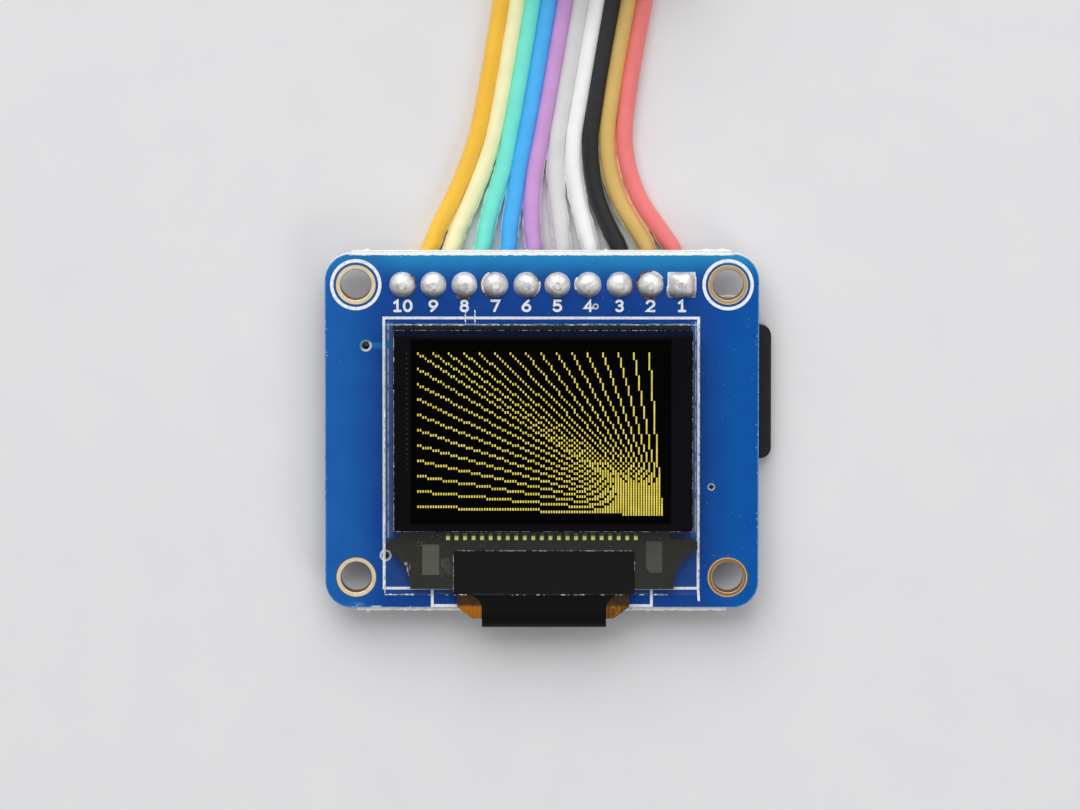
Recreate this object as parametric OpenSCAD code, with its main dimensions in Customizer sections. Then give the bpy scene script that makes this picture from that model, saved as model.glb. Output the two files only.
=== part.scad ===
// Small colour display module. A glass panel with its own light sits on the front of
// a blue circuit board. A memory card socket and the power parts are on the back, and
// a ten-wire ribbon is soldered into the row of header holes.
// Origin: centre of the four mounting holes, on the front face of the board.
// +Z points out of the display and +Y towards the header. The module lies on its back.

/* [Board] */
// Length of the board along X
board_w = 35.56; // [35.2:0.01:36.4]
// Width of the board along Y
board_h = 29.21; // [28.9:0.01:29.6]
// Thickness of the board
board_t = 1.6; // [1.5:0.1:1.7]
// Radius of the board's corners
corner_r = 2.2; // [1.5:0.1:2.5]
// Distance between the mounting holes along X
hole_dx = 30.48; // [30.2:0.01:30.8]
// Distance between the mounting holes along Y
hole_dy = 24.13; // [23.9:0.01:24.3]
// Diameter of a mounting hole
hole_d = 2.5; // [2.2:0.1:2.7]
// Outer diameter of the gold land round a mounting hole
hole_land_d = 3.25; // [3:0.05:3.6]
// Width of the slope that the score line leaves on the long edges
score_w = 0.06; // [0.04:0.02:0.3]
// How far the torn web stands out between the two slopes
web_out = 0.2; // [0.05:0.05:0.3]

/* [Header] */
// Distance between the header holes
pin_pitch = 2.54; // [2.5:0.01:2.56]
// Diameter of the plated header holes
pin_drill = 1.0; // [0.9:0.05:1.1]
// Diameter of the round header lands
pin_land_d = 2.1; // [1.8:0.05:2.2]
// Height of a solder joint above the board
solder_h = 0.85; // [0.5:0.05:1.1]

/* [Display] */
// Length of the front glass along X
glass_w = 25.8; // [25:0.1:26]
// Width of the front glass along Y
glass_h = 22.3; // [22:0.1:22.4]
// Thickness of each of the two glass sheets
glass_t = 0.7; // [0.5:0.05:0.8]
// Distance of the front glass's centre below the hole centre
glass_drop = 2.2; // [2.1:0.05:2.3]
// Size of the polarizer film along X
film_w = 24.5; // [24:0.1:24.9]
// Size of the polarizer film along Y
film_h = 16.6; // [16.2:0.1:16.7]
// Number of contacts on the glass ledge
contacts = 23; // [15:1:27]

/* [Flex tail] */
// Width of the tail where it leaves the glass
tail_w = 14.1; // [13:0.1:15]
// Width of the tail round the edge of the board and behind it, hidden under its tape
tail_back_w = 9.9; // [9.8:0.1:10.1]
// Thickness of the tail
flex_t = 0.1; // [0.08:0.01:0.12]
// How far the bend stands out from the edge of the board
bend_out = 1.65; // [1.55:0.05:1.9]

/* [Card socket] */
// Size of the socket along the card's travel
socket_l = 14.5; // [14:0.1:14.8]
// Size of the socket across the card
socket_w = 13.6; // [13.4:0.1:13.8]
// Height of the socket behind the board
socket_h = 1.9; // [1.85:0.05:2.2]
// Distance of the socket's centre line above the hole centre
socket_y = 3.0; // [2.8:0.1:3.1]
// How far the card stands out past the edge of the board
card_out = 1.05; // [0.6:0.05:1.5]

/* [Cable] */
// Diameter of a wire over its insulation
wire_d = 1.38; // [1.2:0.02:1.38]
// Distance between wires in the bonded ribbon
wire_pitch = 1.29; // [1.28:0.01:1.32]
// Length of the folded store of cable, up to the middle of its loop
hank_l = 49; // [44:1:60]
// Length of a plug housing
plug_l = 14; // [12:0.5:14]

/* [Hidden] */

$fn = 48;
eps = 0.01;
land_t = 0.04;

// Colours of the pieces that share a finish
gold = [0.85, 0.68, 0.28];
tin = [0.78, 0.78, 0.76];
black_plastic = [0.09, 0.09, 0.1];
amber = [0.72, 0.42, 0.12];

// Header row
pins = 10;
pin_y = hole_dy / 2;
function pin_x(i) = (i - (pins - 1) / 2) * pin_pitch;

// Heights of the display stack above the board
adhesive_t = 0.15;
film_t = 0.2;
contact_t = 0.08;
z_cap = adhesive_t;
z_glass = z_cap + glass_t;
z_film = z_glass + glass_t;
glass_bottom = -glass_drop - glass_h / 2;
glass_top = glass_bottom + glass_h;
ledge_y = -8.1;
film_x = 0.1;
film_y = 0.2;

// The tail's bend: radii of its inner face, outer face and the tape on it
tail_x = 0.1;
tail_top = z_glass - contact_t;
tail_low = -board_t - land_t - flex_t;
bend_z = (tail_top + tail_low) / 2;
bend_ro = (tail_top - tail_low) / 2;
bend_ri = bend_ro - flex_t;
tape_t = contact_t;
bend_y = -board_h / 2 - bend_out + bend_ro + tape_t;
tail_start = -8.8;
tail_end = -10.9;

// Back of the board and the surface that the module lies on
floor_z = -board_t - socket_h;

// Card socket, drawn from the back of the board outwards
sheet_t = 0.2;
socket_mouth = board_w / 2 - 0.38;
socket_back = socket_mouth - socket_l;
socket_feet = [socket_back + 1.2, socket_mouth - 4.4];
rail_floor = 0.5;
card_w = 11;
card_l = 15;
card_t = 0.7;
lip_t = 1.0;
card_top = socket_h - sheet_t;
card_x = board_w / 2 + card_out;
card_pads = 8;
card_pitch = 1.1;

// Wires: name, colour, and hand-laid points [x, y] from under the header to the ribbon
WIRES = [
    ["orange", [0.97, 0.66, 0.12],
        [[-9.25, 14.7], [-8.6, 16.3], [-7.4, 18.7], [-6.3, 21.2], [-5.4, 23.8], [-4.7, 27]]],
    ["yellow", [0.96, 0.93, 0.6],
        [[-7.4, 14.7], [-6.9, 16.3], [-5.9, 18.7], [-4.9, 21.2], [-4.05, 23.8], [-3.4, 27]]],
    ["green", [0.35, 0.82, 0.75],
        [[-4.9, 14.7], [-4.6, 16.3], [-4, 18.7], [-3.2, 21.2], [-2.7, 23.8], [-2.1, 27]]],
    ["blue", [0.2, 0.6, 0.95],
        [[-2.75, 14.7], [-2.65, 16.3], [-2.3, 18.7], [-1.9, 21.2], [-1.4, 23.8], [-0.8, 27]]],
    ["purple", [0.68, 0.47, 0.75],
        [[-0.65, 14.7], [-0.8, 16.3], [-0.85, 18.7], [-0.6, 21.2], [-0.1, 23.8], [0.5, 27]]],
    ["grey", [0.7, 0.7, 0.7],
        [[1.7, 14.7], [1.55, 16.3], [1.25, 18.7], [1.1, 21.2], [1.25, 23.8], [1.8, 27]]],
    ["white", [0.95, 0.95, 0.95],
        [[4, 14.7], [3.6, 16.3], [3, 18.7], [2.6, 21.2], [2.6, 23.8], [3.1, 27]]],
    ["black", [0.07, 0.07, 0.08],
        [[6.35, 14.7], [5.6, 16.3], [4.6, 18.7], [4.1, 21.2], [3.95, 23.8], [4.4, 27]]],
    ["brown", [0.7, 0.53, 0.3],
        [[8.65, 14.7], [7.8, 16.3], [6.4, 18.7], [5.6, 21.2], [5.35, 23.8], [5.7, 27]]],
    ["red", [0.85, 0.35, 0.35],
        [[10.75, 14.7], [9.7, 16.3], [8.1, 18.7], [7.15, 21.2], [6.75, 23.8], [7, 27]]]
];
wire_z = floor_z + wire_d / 2;
strand_d = 0.6;
strand_bend = 0.8;
bare_l = 1.2;

// The folded store of cable: where it starts, how it leans, and its loop
hank_x = 3;
hank_y = 38;
hank_lean = 9.4;
loop_r = 3 * wire_d - 0.09;
loop_fall = 35;
ribbon_w = (pins - 1) * wire_pitch + wire_d;
plug_w = 2.5;
plug_s = 2;
plug_step = 2 * wire_pitch;
band_s = 31;
band_w = 3;
band_t = 0.35;

// ---- shared outlines and helpers ----

// Rectangle with true round corners, centred
module round_rect(w, h, r) {
    square([w, h - 2 * r], center = true);
    square([w - 2 * r, h], center = true);
    for (x = [-1, 1], y = [-1, 1])
        translate([x * (w / 2 - r), y * (h / 2 - r)]) circle(r);
}

// Flat ring
module ring(d_out, d_in, h) {
    difference() {
        cylinder(d = d_out, h = h);
        translate([0, 0, -eps]) cylinder(d = d_in, h = h + 2 * eps);
    }
}

// Draws an outline given in (Y, Z) and stretches it along X
module along_x(length) {
    rotate([90, 0, 90]) linear_extrude(length, center = true) children();
}

// Draws its children from the back face of the board outwards
module behind() {
    translate([0, 0, -board_t]) mirror([0, 0, 1]) children();
}

module at_holes() {
    for (x = [-1, 1], y = [-1, 1]) translate([x * hole_dx / 2, y * hole_dy / 2, 0]) children();
}

module at_pins() {
    for (i = [0 : pins - 1]) translate([pin_x(i), pin_y, 0]) children();
}

// ---- board ----

// Long edge of the board where the score line was snapped: two slopes and a web between
score_depth = 0.6;
score_l = board_w - 2 * corner_r;

module score_slopes() {
    for (side = [-1, 1], face = [0, 1])
        scale([1, side, 1]) translate([0, board_h / 2, -face * board_t]) mirror([0, 0, face])
            along_x(score_l)
                polygon([[-score_w, 0], [-score_w, 1], [1, 1], [1, -score_depth], [0, -score_depth]]);
}

module torn_webs() {
    for (side = [-1, 1]) scale([1, side, 1]) translate([0, board_h / 2, 0]) along_x(score_l)
        polygon([[-1, -score_depth], [0, -score_depth], [web_out, -score_depth - 0.08],
            [web_out, score_depth + 0.08 - board_t], [0, score_depth - board_t],
            [-1, score_depth - board_t]]);
}

VIAS = [[-14.43, 7.06, 0.5], [-12.82, -10.25, 0.5], [4.4, 10.28, 0.3], [13.9, -4.6, 0.5]];

module circuit_board() {
    color([0.03, 0.25, 0.58]) difference() {
        union() {
            translate([0, 0, -board_t]) linear_extrude(board_t) round_rect(board_w, board_h, corner_r);
            torn_webs();
        }
        translate([0, 0, -board_t - 1]) at_holes() cylinder(d = hole_d + 2 * barrel_t, h = board_t + 2);
        translate([0, 0, -board_t - 1]) at_pins() cylinder(d = pin_drill, h = board_t + 2, $fn = 32);
        for (v = VIAS)
            translate([v[0], v[1], -board_t - 1]) cylinder(d = v[2], h = board_t + 2, $fn = 16);
        score_slopes();
    }
}

// Plating of a mounting hole: a land on each face and the barrel, with round knees between
barrel_t = 0.06;
module mounting_hole_lands() {
    bore_r = hole_d / 2;
    land_r = hole_land_d / 2;
    color(gold) at_holes() rotate_extrude() difference() {
        translate([land_r, -board_t / 2])
            round_rect(2 * (land_r - bore_r), board_t + 2 * land_t, barrel_t + land_t);
        translate([land_r, -board_t - 1]) square([land_r, board_t + 2]);
        translate([bore_r + barrel_t, -board_t]) square([land_r, board_t]);
    }
}

// Plated header holes. The last one is square: it marks the first pin
module header_lands() {
    wall = 0.05;
    color(gold) for (i = [0 : pins - 1]) translate([pin_x(i), pin_y, 0]) difference() {
        union() {
            for (z = [0, -board_t - land_t]) translate([0, 0, z])
                if (i == pins - 1)
                    linear_extrude(land_t) round_rect(pin_land_d + 0.2, pin_land_d, 0.1);
                else
                    cylinder(d = pin_land_d, h = land_t);
            translate([0, 0, -board_t]) cylinder(d = pin_drill, h = board_t);
        }
        translate([0, 0, -board_t - 1])
            cylinder(d = pin_drill - 2 * wall, h = board_t + 2, $fn = 32);
    }
}

// ---- solder and bare wire at the header ----

// Direction of a wire where it leaves its hole, as an angle about Z from +Y
function leave(i) = let (d = WIRES[i][2][0] - [pin_x(i), pin_y]) atan2(d[0], d[1]);

// Tinned strands: up through the hole, and one bend under the board to the insulation
module strands(i) {
    tip = solder_h + 0.1;
    knee = wire_z + strand_bend;
    translate([pin_x(i), pin_y, 0]) {
        translate([0, 0, knee]) cylinder(d = strand_d, h = tip - knee, $fn = 24);
        rotate([0, 0, -leave(i)]) {
            translate([0, strand_bend, knee]) rotate([0, 0, 90]) rotate([90, 0, 0])
                rotate_extrude(angle = 90, start = 180) translate([strand_bend, 0])
                    circle(d = strand_d, $fn = 24);
            translate([0, strand_bend, wire_z]) rotate([-90, 0, 0])
                cylinder(d = strand_d, h = bare_l - strand_bend, $fn = 24);
        }
    }
}

module wire_strands() {
    color(tin) for (i = [0 : pins - 1]) strands(i);
}

// Section of a joint: a dome over the front land, the filled hole, and a short cone behind
module solder_section(r) {
    back = 0.34;
    difference() {
        union() {
            intersection() {
                translate([0, land_t + solder_h - 1.35 * r]) circle(1.35 * r);
                translate([0, land_t]) square([r, solder_h]);
            }
            translate([0, -board_t - land_t]) square([pin_drill / 2 - 0.05, board_t + 2 * land_t]);
            translate([0, -board_t - land_t])
                polygon([[0, 0], [0.9 * r, 0], [0.55 * r, -0.5 * back], [0.42 * r, -back], [0, -back]]);
        }
        translate([0, -board_t - 1]) square([strand_d / 2, board_t + solder_h + 2]);
    }
}

module header_solder() {
    color([0.8, 0.8, 0.79]) at_pins() rotate_extrude($fn = 32) solder_section(pin_land_d / 2 - 0.03);
}

// ---- display panel ----

module adhesive_pad() {
    color([0.85, 0.85, 0.82]) translate([0, 0.3, 0])
        linear_extrude(adhesive_t) round_rect(22.5, 15, 0.4);
}

// Outline of the black matrix behind the front glass
module matrix_outline() {
    translate([-0.1, 0.2]) round_rect(21.3, 15.2, 0.1);
}
matrix_t = 0.03;

// Rear glass: it seals the pixels and stops short of the contact ledge
module cap_glass() {
    side_margin = 0.7;
    top_margin = 0.15;
    color([0.3, 0.34, 0.34]) difference() {
        translate([-glass_w / 2 + side_margin, ledge_y, z_cap])
            cube([glass_w - 2 * side_margin, glass_top - top_margin - ledge_y, glass_t]);
        translate([0, 0, z_glass - matrix_t]) linear_extrude(matrix_t + eps) matrix_outline();
    }
}

module pixel_matrix() {
    color([0.04, 0.04, 0.05]) translate([0, 0, z_glass - matrix_t])
        linear_extrude(matrix_t) matrix_outline();
}

module panel_glass() {
    color([0.55, 0.62, 0.62, 0.6]) translate([-glass_w / 2, glass_bottom, z_glass])
        cube([glass_w, glass_h, glass_t]);
}

module polarizer() {
    color([0.06, 0.06, 0.07]) translate([film_x, film_y, z_film])
        linear_extrude(film_t) round_rect(film_w, film_h, 0.12);
}

module panel_contacts() {
    pitch = 0.7;
    color(gold) for (i = [0 : contacts - 1])
        translate([(i - (contacts - 1) / 2) * pitch - 0.19, tail_start - 0.1, tail_top])
            cube([0.38, 0.6, contact_t]);
}

// ---- flex tail ----

// Section of a sheet wrapped round the board's edge, from y_front over the bend to y_back
module wrapped(r_in, r_out, y_front, y_back) {
    translate([bend_y, bend_z]) difference() {
        union() {
            intersection() {
                circle(r_out);
                translate([-2 * r_out, -r_out]) square([2 * r_out, 2 * r_out]);
            }
            square([y_front - bend_y, r_out]);
            translate([0, -r_out]) square([y_back - bend_y, r_out]);
        }
        circle(r_in);
        translate([0, -r_in]) square([100, 2 * r_in]);
    }
}

// Everything lower than the middle of the bend
module below_bend() {
    reach = board_w;
    translate([-reach / 2, -reach / 2, bend_z - reach]) cube(reach);
}

// Front outline of the tail: a full-width bonding edge, hollow shoulders, and two ears
// that end in a slanted tab where the tail narrows to go round the edge of the board
module tail_outline() {
    shoulder_r = 3.1;
    low = glass_bottom + 0.4;
    ear_y = -board_h / 2 + 0.15;
    ear_l = 0.95;
    ear_tip = tail_w / 2 - 1.25;
    difference() {
        translate([-12.4, low]) square([24.8, tail_start - low]);
        for (x = [-13.9, 13.9]) translate([x, low + 0.25]) circle(shoulder_r);
    }
    translate([tail_x, 0]) {
        translate([-tail_w / 2, ear_y]) square([tail_w, low + 1 - ear_y]);
        polygon([[-tail_w / 2, ear_y], [-ear_tip, ear_y - ear_l], [ear_tip, ear_y - ear_l],
            [tail_w / 2, ear_y]]);
        translate([-tail_back_w / 2, ear_y - 3]) square([tail_back_w, 3]);
    }
}

module flex_tail() {
    color(amber) {
        intersection() {
            along_x(40) wrapped(bend_ri, bend_ro, tail_start, tail_end);
            translate([0, 0, bend_z]) linear_extrude(3) tail_outline();
        }
        translate([tail_x, 0, 0]) intersection() {
            along_x(tail_back_w) wrapped(bend_ri, bend_ro, tail_start, tail_end);
            below_bend();
        }
    }
}

// Bare driver die under the tail
module driver_chip() {
    color([0.16, 0.16, 0.18]) translate([-5.6, -11.7, tail_top - flex_t - 0.3]) cube([11.2, 1.4, 0.3]);
}

// Black tape on the tail: wide and round-cornered under the glass, narrow round the bend
tape_x = 0.17;
tape_w = 14.9;
tape_neck_w = 10.2;
tape_top = -9.76;
tape_low = glass_bottom - 0.1;
tape_end = -13;

module tape_outline() {
    neck_r = 1.1;
    translate([0, (tape_top + tape_low) / 2]) round_rect(tape_w, tape_top - tape_low, 0.3);
    difference() {
        translate([-tape_neck_w / 2 - neck_r, tape_low - neck_r])
            square([tape_neck_w + 2 * neck_r, neck_r + 0.5]);
        for (side = [-1, 1]) translate([side * (tape_neck_w / 2 + neck_r), tape_low - neck_r])
            circle(neck_r);
    }
    translate([-tape_neck_w / 2, tape_low - 3]) square([tape_neck_w, 3.5]);
}

module flex_tape() {
    color([0.05, 0.05, 0.06]) {
        intersection() {
            along_x(40) wrapped(bend_ro, bend_ro + tape_t, tape_top, tape_end);
            translate([tape_x, 0, bend_z]) linear_extrude(3) tape_outline();
        }
        translate([tape_x, 0, 0]) intersection() {
            along_x(tape_neck_w) wrapped(bend_ro, bend_ro + tape_t, tape_top, tape_end);
            below_bend();
        }
    }
}

// Row of joints that holds the end of the tail to the board
joint_pitch = 0.42;
module flex_solder() {
    color(tin) for (i = [0 : contacts - 1])
        translate([tail_x + (i - (contacts - 1) / 2) * joint_pitch, tail_end, -board_t - land_t])
            intersection() {
                rotate([-90, 0, 0]) cylinder(r = 0.14, h = 0.7, $fn = 16);
                translate([-1, 0, -1]) cube([2, 2, 1]);
            }
}

// ---- card socket and card ----

// Stamped cover: a sheet folded down both sides, with spring tongues and a finger notch
module socket_shell() {
    mid = (socket_mouth + socket_back) / 2;
    tongue = [5.2, 1.6];
    gap = 0.35;
    color([0.75, 0.76, 0.77]) behind() translate([0, socket_y, 0]) {
        difference() {
            translate([mid, 0, 0]) along_x(socket_l) difference() {
                intersection() {
                    round_rect(socket_w, 2 * socket_h, 0.45);
                    translate([-socket_w, land_t]) square([2 * socket_w, socket_h]);
                }
                round_rect(socket_w - 2 * sheet_t, 2 * (socket_h - sheet_t), 0.25);
            }
            // slots that free the two tongues
            for (y = [-3.4, 3.4]) translate([mid - 1, y, socket_h - sheet_t - 1]) difference() {
                translate([-tongue[0] / 2, -tongue[1] / 2, 0]) cube([tongue[0], tongue[1], 2]);
                translate([-tongue[0] / 2 + gap, -tongue[1] / 2 + gap, -1])
                    cube([tongue[0], tongue[1] - 2 * gap, 4]);
            }
            // finger notch at the mouth, and two sight holes
            translate([socket_mouth + 4.2, 0, socket_h - 1]) cylinder(r = 5.5, h = 2);
            for (y = [-5.8, 5.8]) translate([socket_back + 2.2, y, socket_h - 1])
                cylinder(d = 1.1, h = 2, $fn = 24);
            // side windows above the feet
            for (x = [mid - 3.5, mid + 3.5]) translate([x - 0.9, -10, 0.75]) cube([1.8, 20, 0.45]);
        }
        // solder feet, and the back stop folded down between the rails
        for (x = socket_feet, side = [-1, 1])
            scale([1, side, 1]) translate([x - 0.7, socket_w / 2 - sheet_t, land_t])
                cube([1.4, 1.1, sheet_t]);
        translate([socket_back, -4.6, rail_floor + 0.15])
            cube([sheet_t, 9.2, socket_h - rail_floor - 0.15 - sheet_t / 2]);
    }
}

// Moulded tray: a floor slotted for the springs, and rails that guide the card
module socket_base() {
    w = socket_w - 2 * sheet_t - 0.1;
    top = socket_h - sheet_t - 0.3;
    color(black_plastic) behind() translate([0, socket_y, 0]) difference() {
        translate([socket_back + sheet_t + 0.05, -w / 2, 0]) cube([socket_l - sheet_t - 0.15, w, top]);
        // bed of the card, stepped where the card narrows
        translate([socket_back + 0.85, -card_w / 2 - 0.1, rail_floor]) cube([socket_l, card_w + 0.2, 5]);
        translate([socket_back - 1, -4.7, rail_floor]) cube([3, 9.4, 5]);
        // one slot for each spring
        for (i = [0 : card_pads - 1]) translate([socket_back - 1, spring_y(i) - 0.32, -1])
            cube([6, 0.64, rail_floor + 2]);
        // two light holes in the floor near the mouth
        for (y = [-3, 3]) translate([socket_mouth - 4.5, y, -1]) cylinder(d = 2, h = 3, $fn = 32);
        // ridge bed at the mouth
        translate([socket_mouth - 1.2, -card_w / 2 - 0.1, 0.3]) cube([2, card_w + 0.2, 5]);
    }
}

function spring_y(i) = (i - (card_pads - 1) / 2) * card_pitch + 0.35;

// Formed springs: a flat tail on the board, a ramp, and a bead that touches the card
module socket_springs() {
    x = socket_back;
    bead = card_top - card_t;
    color(gold) behind() for (i = [0 : card_pads - 1])
        translate([0, socket_y + spring_y(i), 0]) rotate([90, 0, 0])
            linear_extrude(0.4, center = true) polygon([
                [x - 0.9, land_t], [x + 0.35, land_t], [x + 2.6, bead - 0.14], [x + 3, bead - 0.14],
                [x + 3.6, bead - 0.45], [x + 3.7, bead - 0.35], [x + 3.05, bead], [x + 2.5, bead],
                [x + 0.3, land_t + 0.14], [x - 0.9, land_t + 0.14]
            ]);
}

// Card seen along its travel: a = 0 at the grip, 15 at the contacts. One side is stepped
module card_outline() {
    half = card_w / 2;
    r = 0.9;
    difference() {
        translate([card_l / 2, 0]) round_rect(card_l, card_w, r);
        translate([9.1, -half - 1]) square([card_l, 1.6]);
        polygon([[7.6, -half - 1], [7.6, -half + 0.45], [8.1, -half + 0.6], [9.2, -half + 0.6],
            [9.2, -half - 1]]);
    }
}

module memory_card() {
    color([0.07, 0.07, 0.075]) behind() translate([card_x, socket_y, card_top - card_t])
        mirror([1, 0, 0]) difference() {
            union() {
                linear_extrude(card_t) card_outline();
                translate([0, 0, -(lip_t - card_t)]) linear_extrude(lip_t)
                    intersection() {
                        card_outline();
                        translate([0, -card_w]) square([1.1, 2 * card_w]);
                    }
            }
            translate([0, 0, -eps]) linear_extrude(land_t + eps) card_pad_outline();
        }
}

module card_pad_outline() {
    for (i = [0 : card_pads - 1])
        translate([card_l - 4.1, spring_y(i) - 0.4]) square([2.9, 0.8]);
}

module card_contacts() {
    color(gold) behind() translate([card_x, socket_y, card_top - card_t])
        mirror([1, 0, 0]) linear_extrude(land_t) card_pad_outline();
}

// ---- chips and small parts behind the board ----

// Moulded body with drafted sides and a first-pin dimple, standing clear of the board
module chip_body(w, l, h) {
    stand = 0.1;
    difference() {
        hull() {
            translate([0, 0, stand]) linear_extrude(eps) square([w - 0.2, l - 0.2], center = true);
            translate([0, 0, h * 0.45]) linear_extrude(h * 0.15) square([w, l], center = true);
            translate([0, 0, h - eps]) linear_extrude(eps) square([w - 0.25, l - 0.25], center = true);
        }
        translate([-w / 2 + 0.7, l / 2 - 0.7, h - 0.08]) cylinder(d = 0.6, h = 1, $fn = 24);
    }
}

// Bent lead: x = 0 at the body's side, foot on its land
module gull_lead(reach, height, width) {
    t = 0.15;
    rotate([90, 0, 0]) linear_extrude(width, center = true) polygon([
        [0, height], [reach * 0.3, height], [reach * 0.55, land_t + t], [reach, land_t + t],
        [reach, land_t], [reach * 0.42, land_t], [reach * 0.2, height - t], [0, height - t]
    ]);
}

// Rows of leads on both long sides of a chip. A row is a list of places along Y
module lead_rows(w, left, right, reach, height, width) {
    for (y = right) translate([w / 2, y, 0]) gull_lead(reach, height, width);
    for (y = left) translate([-w / 2, y, 0]) mirror([1, 0, 0]) gull_lead(reach, height, width);
}

shifter_at = [-3.4, 4.6];
regulator_at = [-7.2, -5];
boost_at = [-12.9, 4.4];
shifter_rows = [for (i = [0 : 7]) (i - 3.5) * 0.65];

module level_shifter() {
    color(black_plastic) behind() translate(shifter_at) chip_body(4.4, 5, 1.1);
}

module level_shifter_leads() {
    color(tin) behind() translate(shifter_at)
        lead_rows(4.4, shifter_rows, shifter_rows, 1.0, 0.63, 0.22);
}

module regulator() {
    color(black_plastic) behind() translate(regulator_at) chip_body(1.6, 2.9, 1.1);
}

module boost_converter() {
    color(black_plastic) behind() translate(boost_at) chip_body(1.6, 2.9, 1.1);
}

// Leads of both small chips: three on one side and two on the other
module small_chip_leads() {
    color(tin) behind() for (at = [regulator_at, boost_at]) translate(at)
        lead_rows(1.6, [-0.95, 0, 0.95], [-0.95, 0.95], 0.6, 0.6, 0.4);
}

inductor_at = [-12.6, -1.6];
inductor_w = 4;

// Square ferrite shield, chamfered, with a round well for the wound core
module inductor_shield() {
    c = 0.7;
    color([0.2, 0.2, 0.21]) behind() translate(inductor_at) difference() {
        translate([0, 0, land_t]) linear_extrude(socket_h - land_t) difference() {
            square(inductor_w, center = true);
            for (a = [0 : 90 : 270]) rotate([0, 0, a])
                translate([inductor_w / 2, inductor_w / 2]) rotate([0, 0, 45])
                    square([c * sqrt(2), c * sqrt(2)], center = true);
        }
        translate([0, 0, socket_h - 1.2]) cylinder(d = 3.3, h = 2);
    }
}

module inductor_core() {
    color([0.28, 0.27, 0.27]) behind() translate([inductor_at[0], inductor_at[1], socket_h - 1.2]) {
        cylinder(d = 2.0, h = 0.8);
        translate([0, 0, 0.75]) cylinder(d = 2.8, h = 0.4);
    }
}

diode_at = [-12.5, -6.2];

module diode() {
    color(black_plastic) behind() translate(diode_at) rotate([0, 0, 90]) difference() {
        chip_body(1.6, 2.7, 1.1);
        // cathode stripe, sunk a little into the top
        translate([-1, 0.7, 1.06]) cube([2, 0.35, 1]);
    }
}

module diode_tabs() {
    color(tin) behind() translate(diode_at) for (a = [0, 180]) rotate([0, 0, a])
        translate([1.35, 0, 0]) gull_lead(0.5, 0.5, 0.55);
}

// Chip capacitors and resistors: [x, y, turn, length, width, height]
CAPACITORS = [
    [-8.7, -0.9, 90, 2, 1.25, 1.1], [-8.7, 2.6, 90, 2, 1.25, 1.1], [-3.7, -5.4, 90, 2, 1.25, 1.1],
    [-9.6, -9.4, 0, 2, 1.25, 1.1], [-13.6, 8, 0, 1.6, 0.8, 0.8], [0.9, -1.2, 90, 1.6, 0.8, 0.8]
];
RESISTORS = [
    [-9.2, 6.8, 90, 1.6, 0.8, 0.45], [-3.4, -0.3, 0, 1.6, 0.8, 0.45], [-3.4, -1.9, 0, 1.6, 0.8, 0.45],
    [2.6, -7.2, 0, 1.6, 0.8, 0.45], [6.2, -7.2, 0, 1.6, 0.8, 0.45]
];
cap_end = 0.35;

module chip_bodies(list) {
    for (c = list) translate([c[0], c[1], land_t]) rotate([0, 0, c[2]])
        translate([0, 0, c[5] / 2]) cube([c[3] - 2 * cap_end, c[4] - 0.06, c[5] - 0.06], center = true);
}

module chip_ends(list) {
    for (c = list, side = [-1, 1]) translate([c[0], c[1], land_t]) rotate([0, 0, c[2]])
        translate([side * (c[3] - cap_end) / 2, 0, c[5] / 2]) rotate([0, 90, 0])
            linear_extrude(cap_end, center = true) round_rect(c[5], c[4], 0.08);
}

module capacitors() { color([0.62, 0.5, 0.36]) behind() chip_bodies(CAPACITORS); }

module capacitor_ends() { color(tin) behind() chip_ends(CAPACITORS); }

module resistors() { color([0.1, 0.1, 0.11]) behind() chip_bodies(RESISTORS); }

module resistor_ends() { color(tin) behind() chip_ends(RESISTORS); }

// One flat land, given by its centre and size
module land(x, y, w, h) {
    translate([x - w / 2, y - h / 2, 0]) cube([w, h, land_t]);
}

// All the tinned lands behind the board that the parts stand on
module component_lands() {
    color(tin) behind() {
        for (c = concat(CAPACITORS, RESISTORS), side = [-1, 1])
            translate([c[0], c[1], 0]) rotate([0, 0, c[2]])
                land(side * c[3] / 2, 0, 0.9, c[4] + 0.1);
        for (y = shifter_rows, side = [-1, 1])
            land(shifter_at[0] + side * 3, shifter_at[1] + y, 1.2, 0.36);
        for (at = [regulator_at, boost_at]) {
            for (y = [-0.95, 0, 0.95]) land(at[0] - 1.3, at[1] + y, 0.8, 0.5);
            for (y = [-0.95, 0.95]) land(at[0] + 1.3, at[1] + y, 0.8, 0.5);
        }
        for (side = [-1, 1]) {
            land(inductor_at[0] + side * 1.75, inductor_at[1], 1.1, 3);
            land(diode_at[0] + side * 1.75, diode_at[1], 1, 0.9);
        }
        for (i = [0 : card_pads - 1]) land(socket_back - 0.7, socket_y + spring_y(i), 1.4, 0.7);
        for (x = socket_feet, side = [-1, 1])
            land(x, socket_y + side * (socket_w / 2 + 0.4), 1.6, 1.1);
        for (i = [0 : contacts - 1])
            land(tail_x + (i - (contacts - 1) / 2) * joint_pitch, tail_end - 0.4, 0.28, 2.2);
    }
}

// ---- cable ----

// Places its children in the cable store: x across the ribbon, y along it, z from the floor
module in_hank() {
    translate([hank_x, hank_y, floor_z]) rotate([0, 0, -hank_lean]) children();
}

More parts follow.
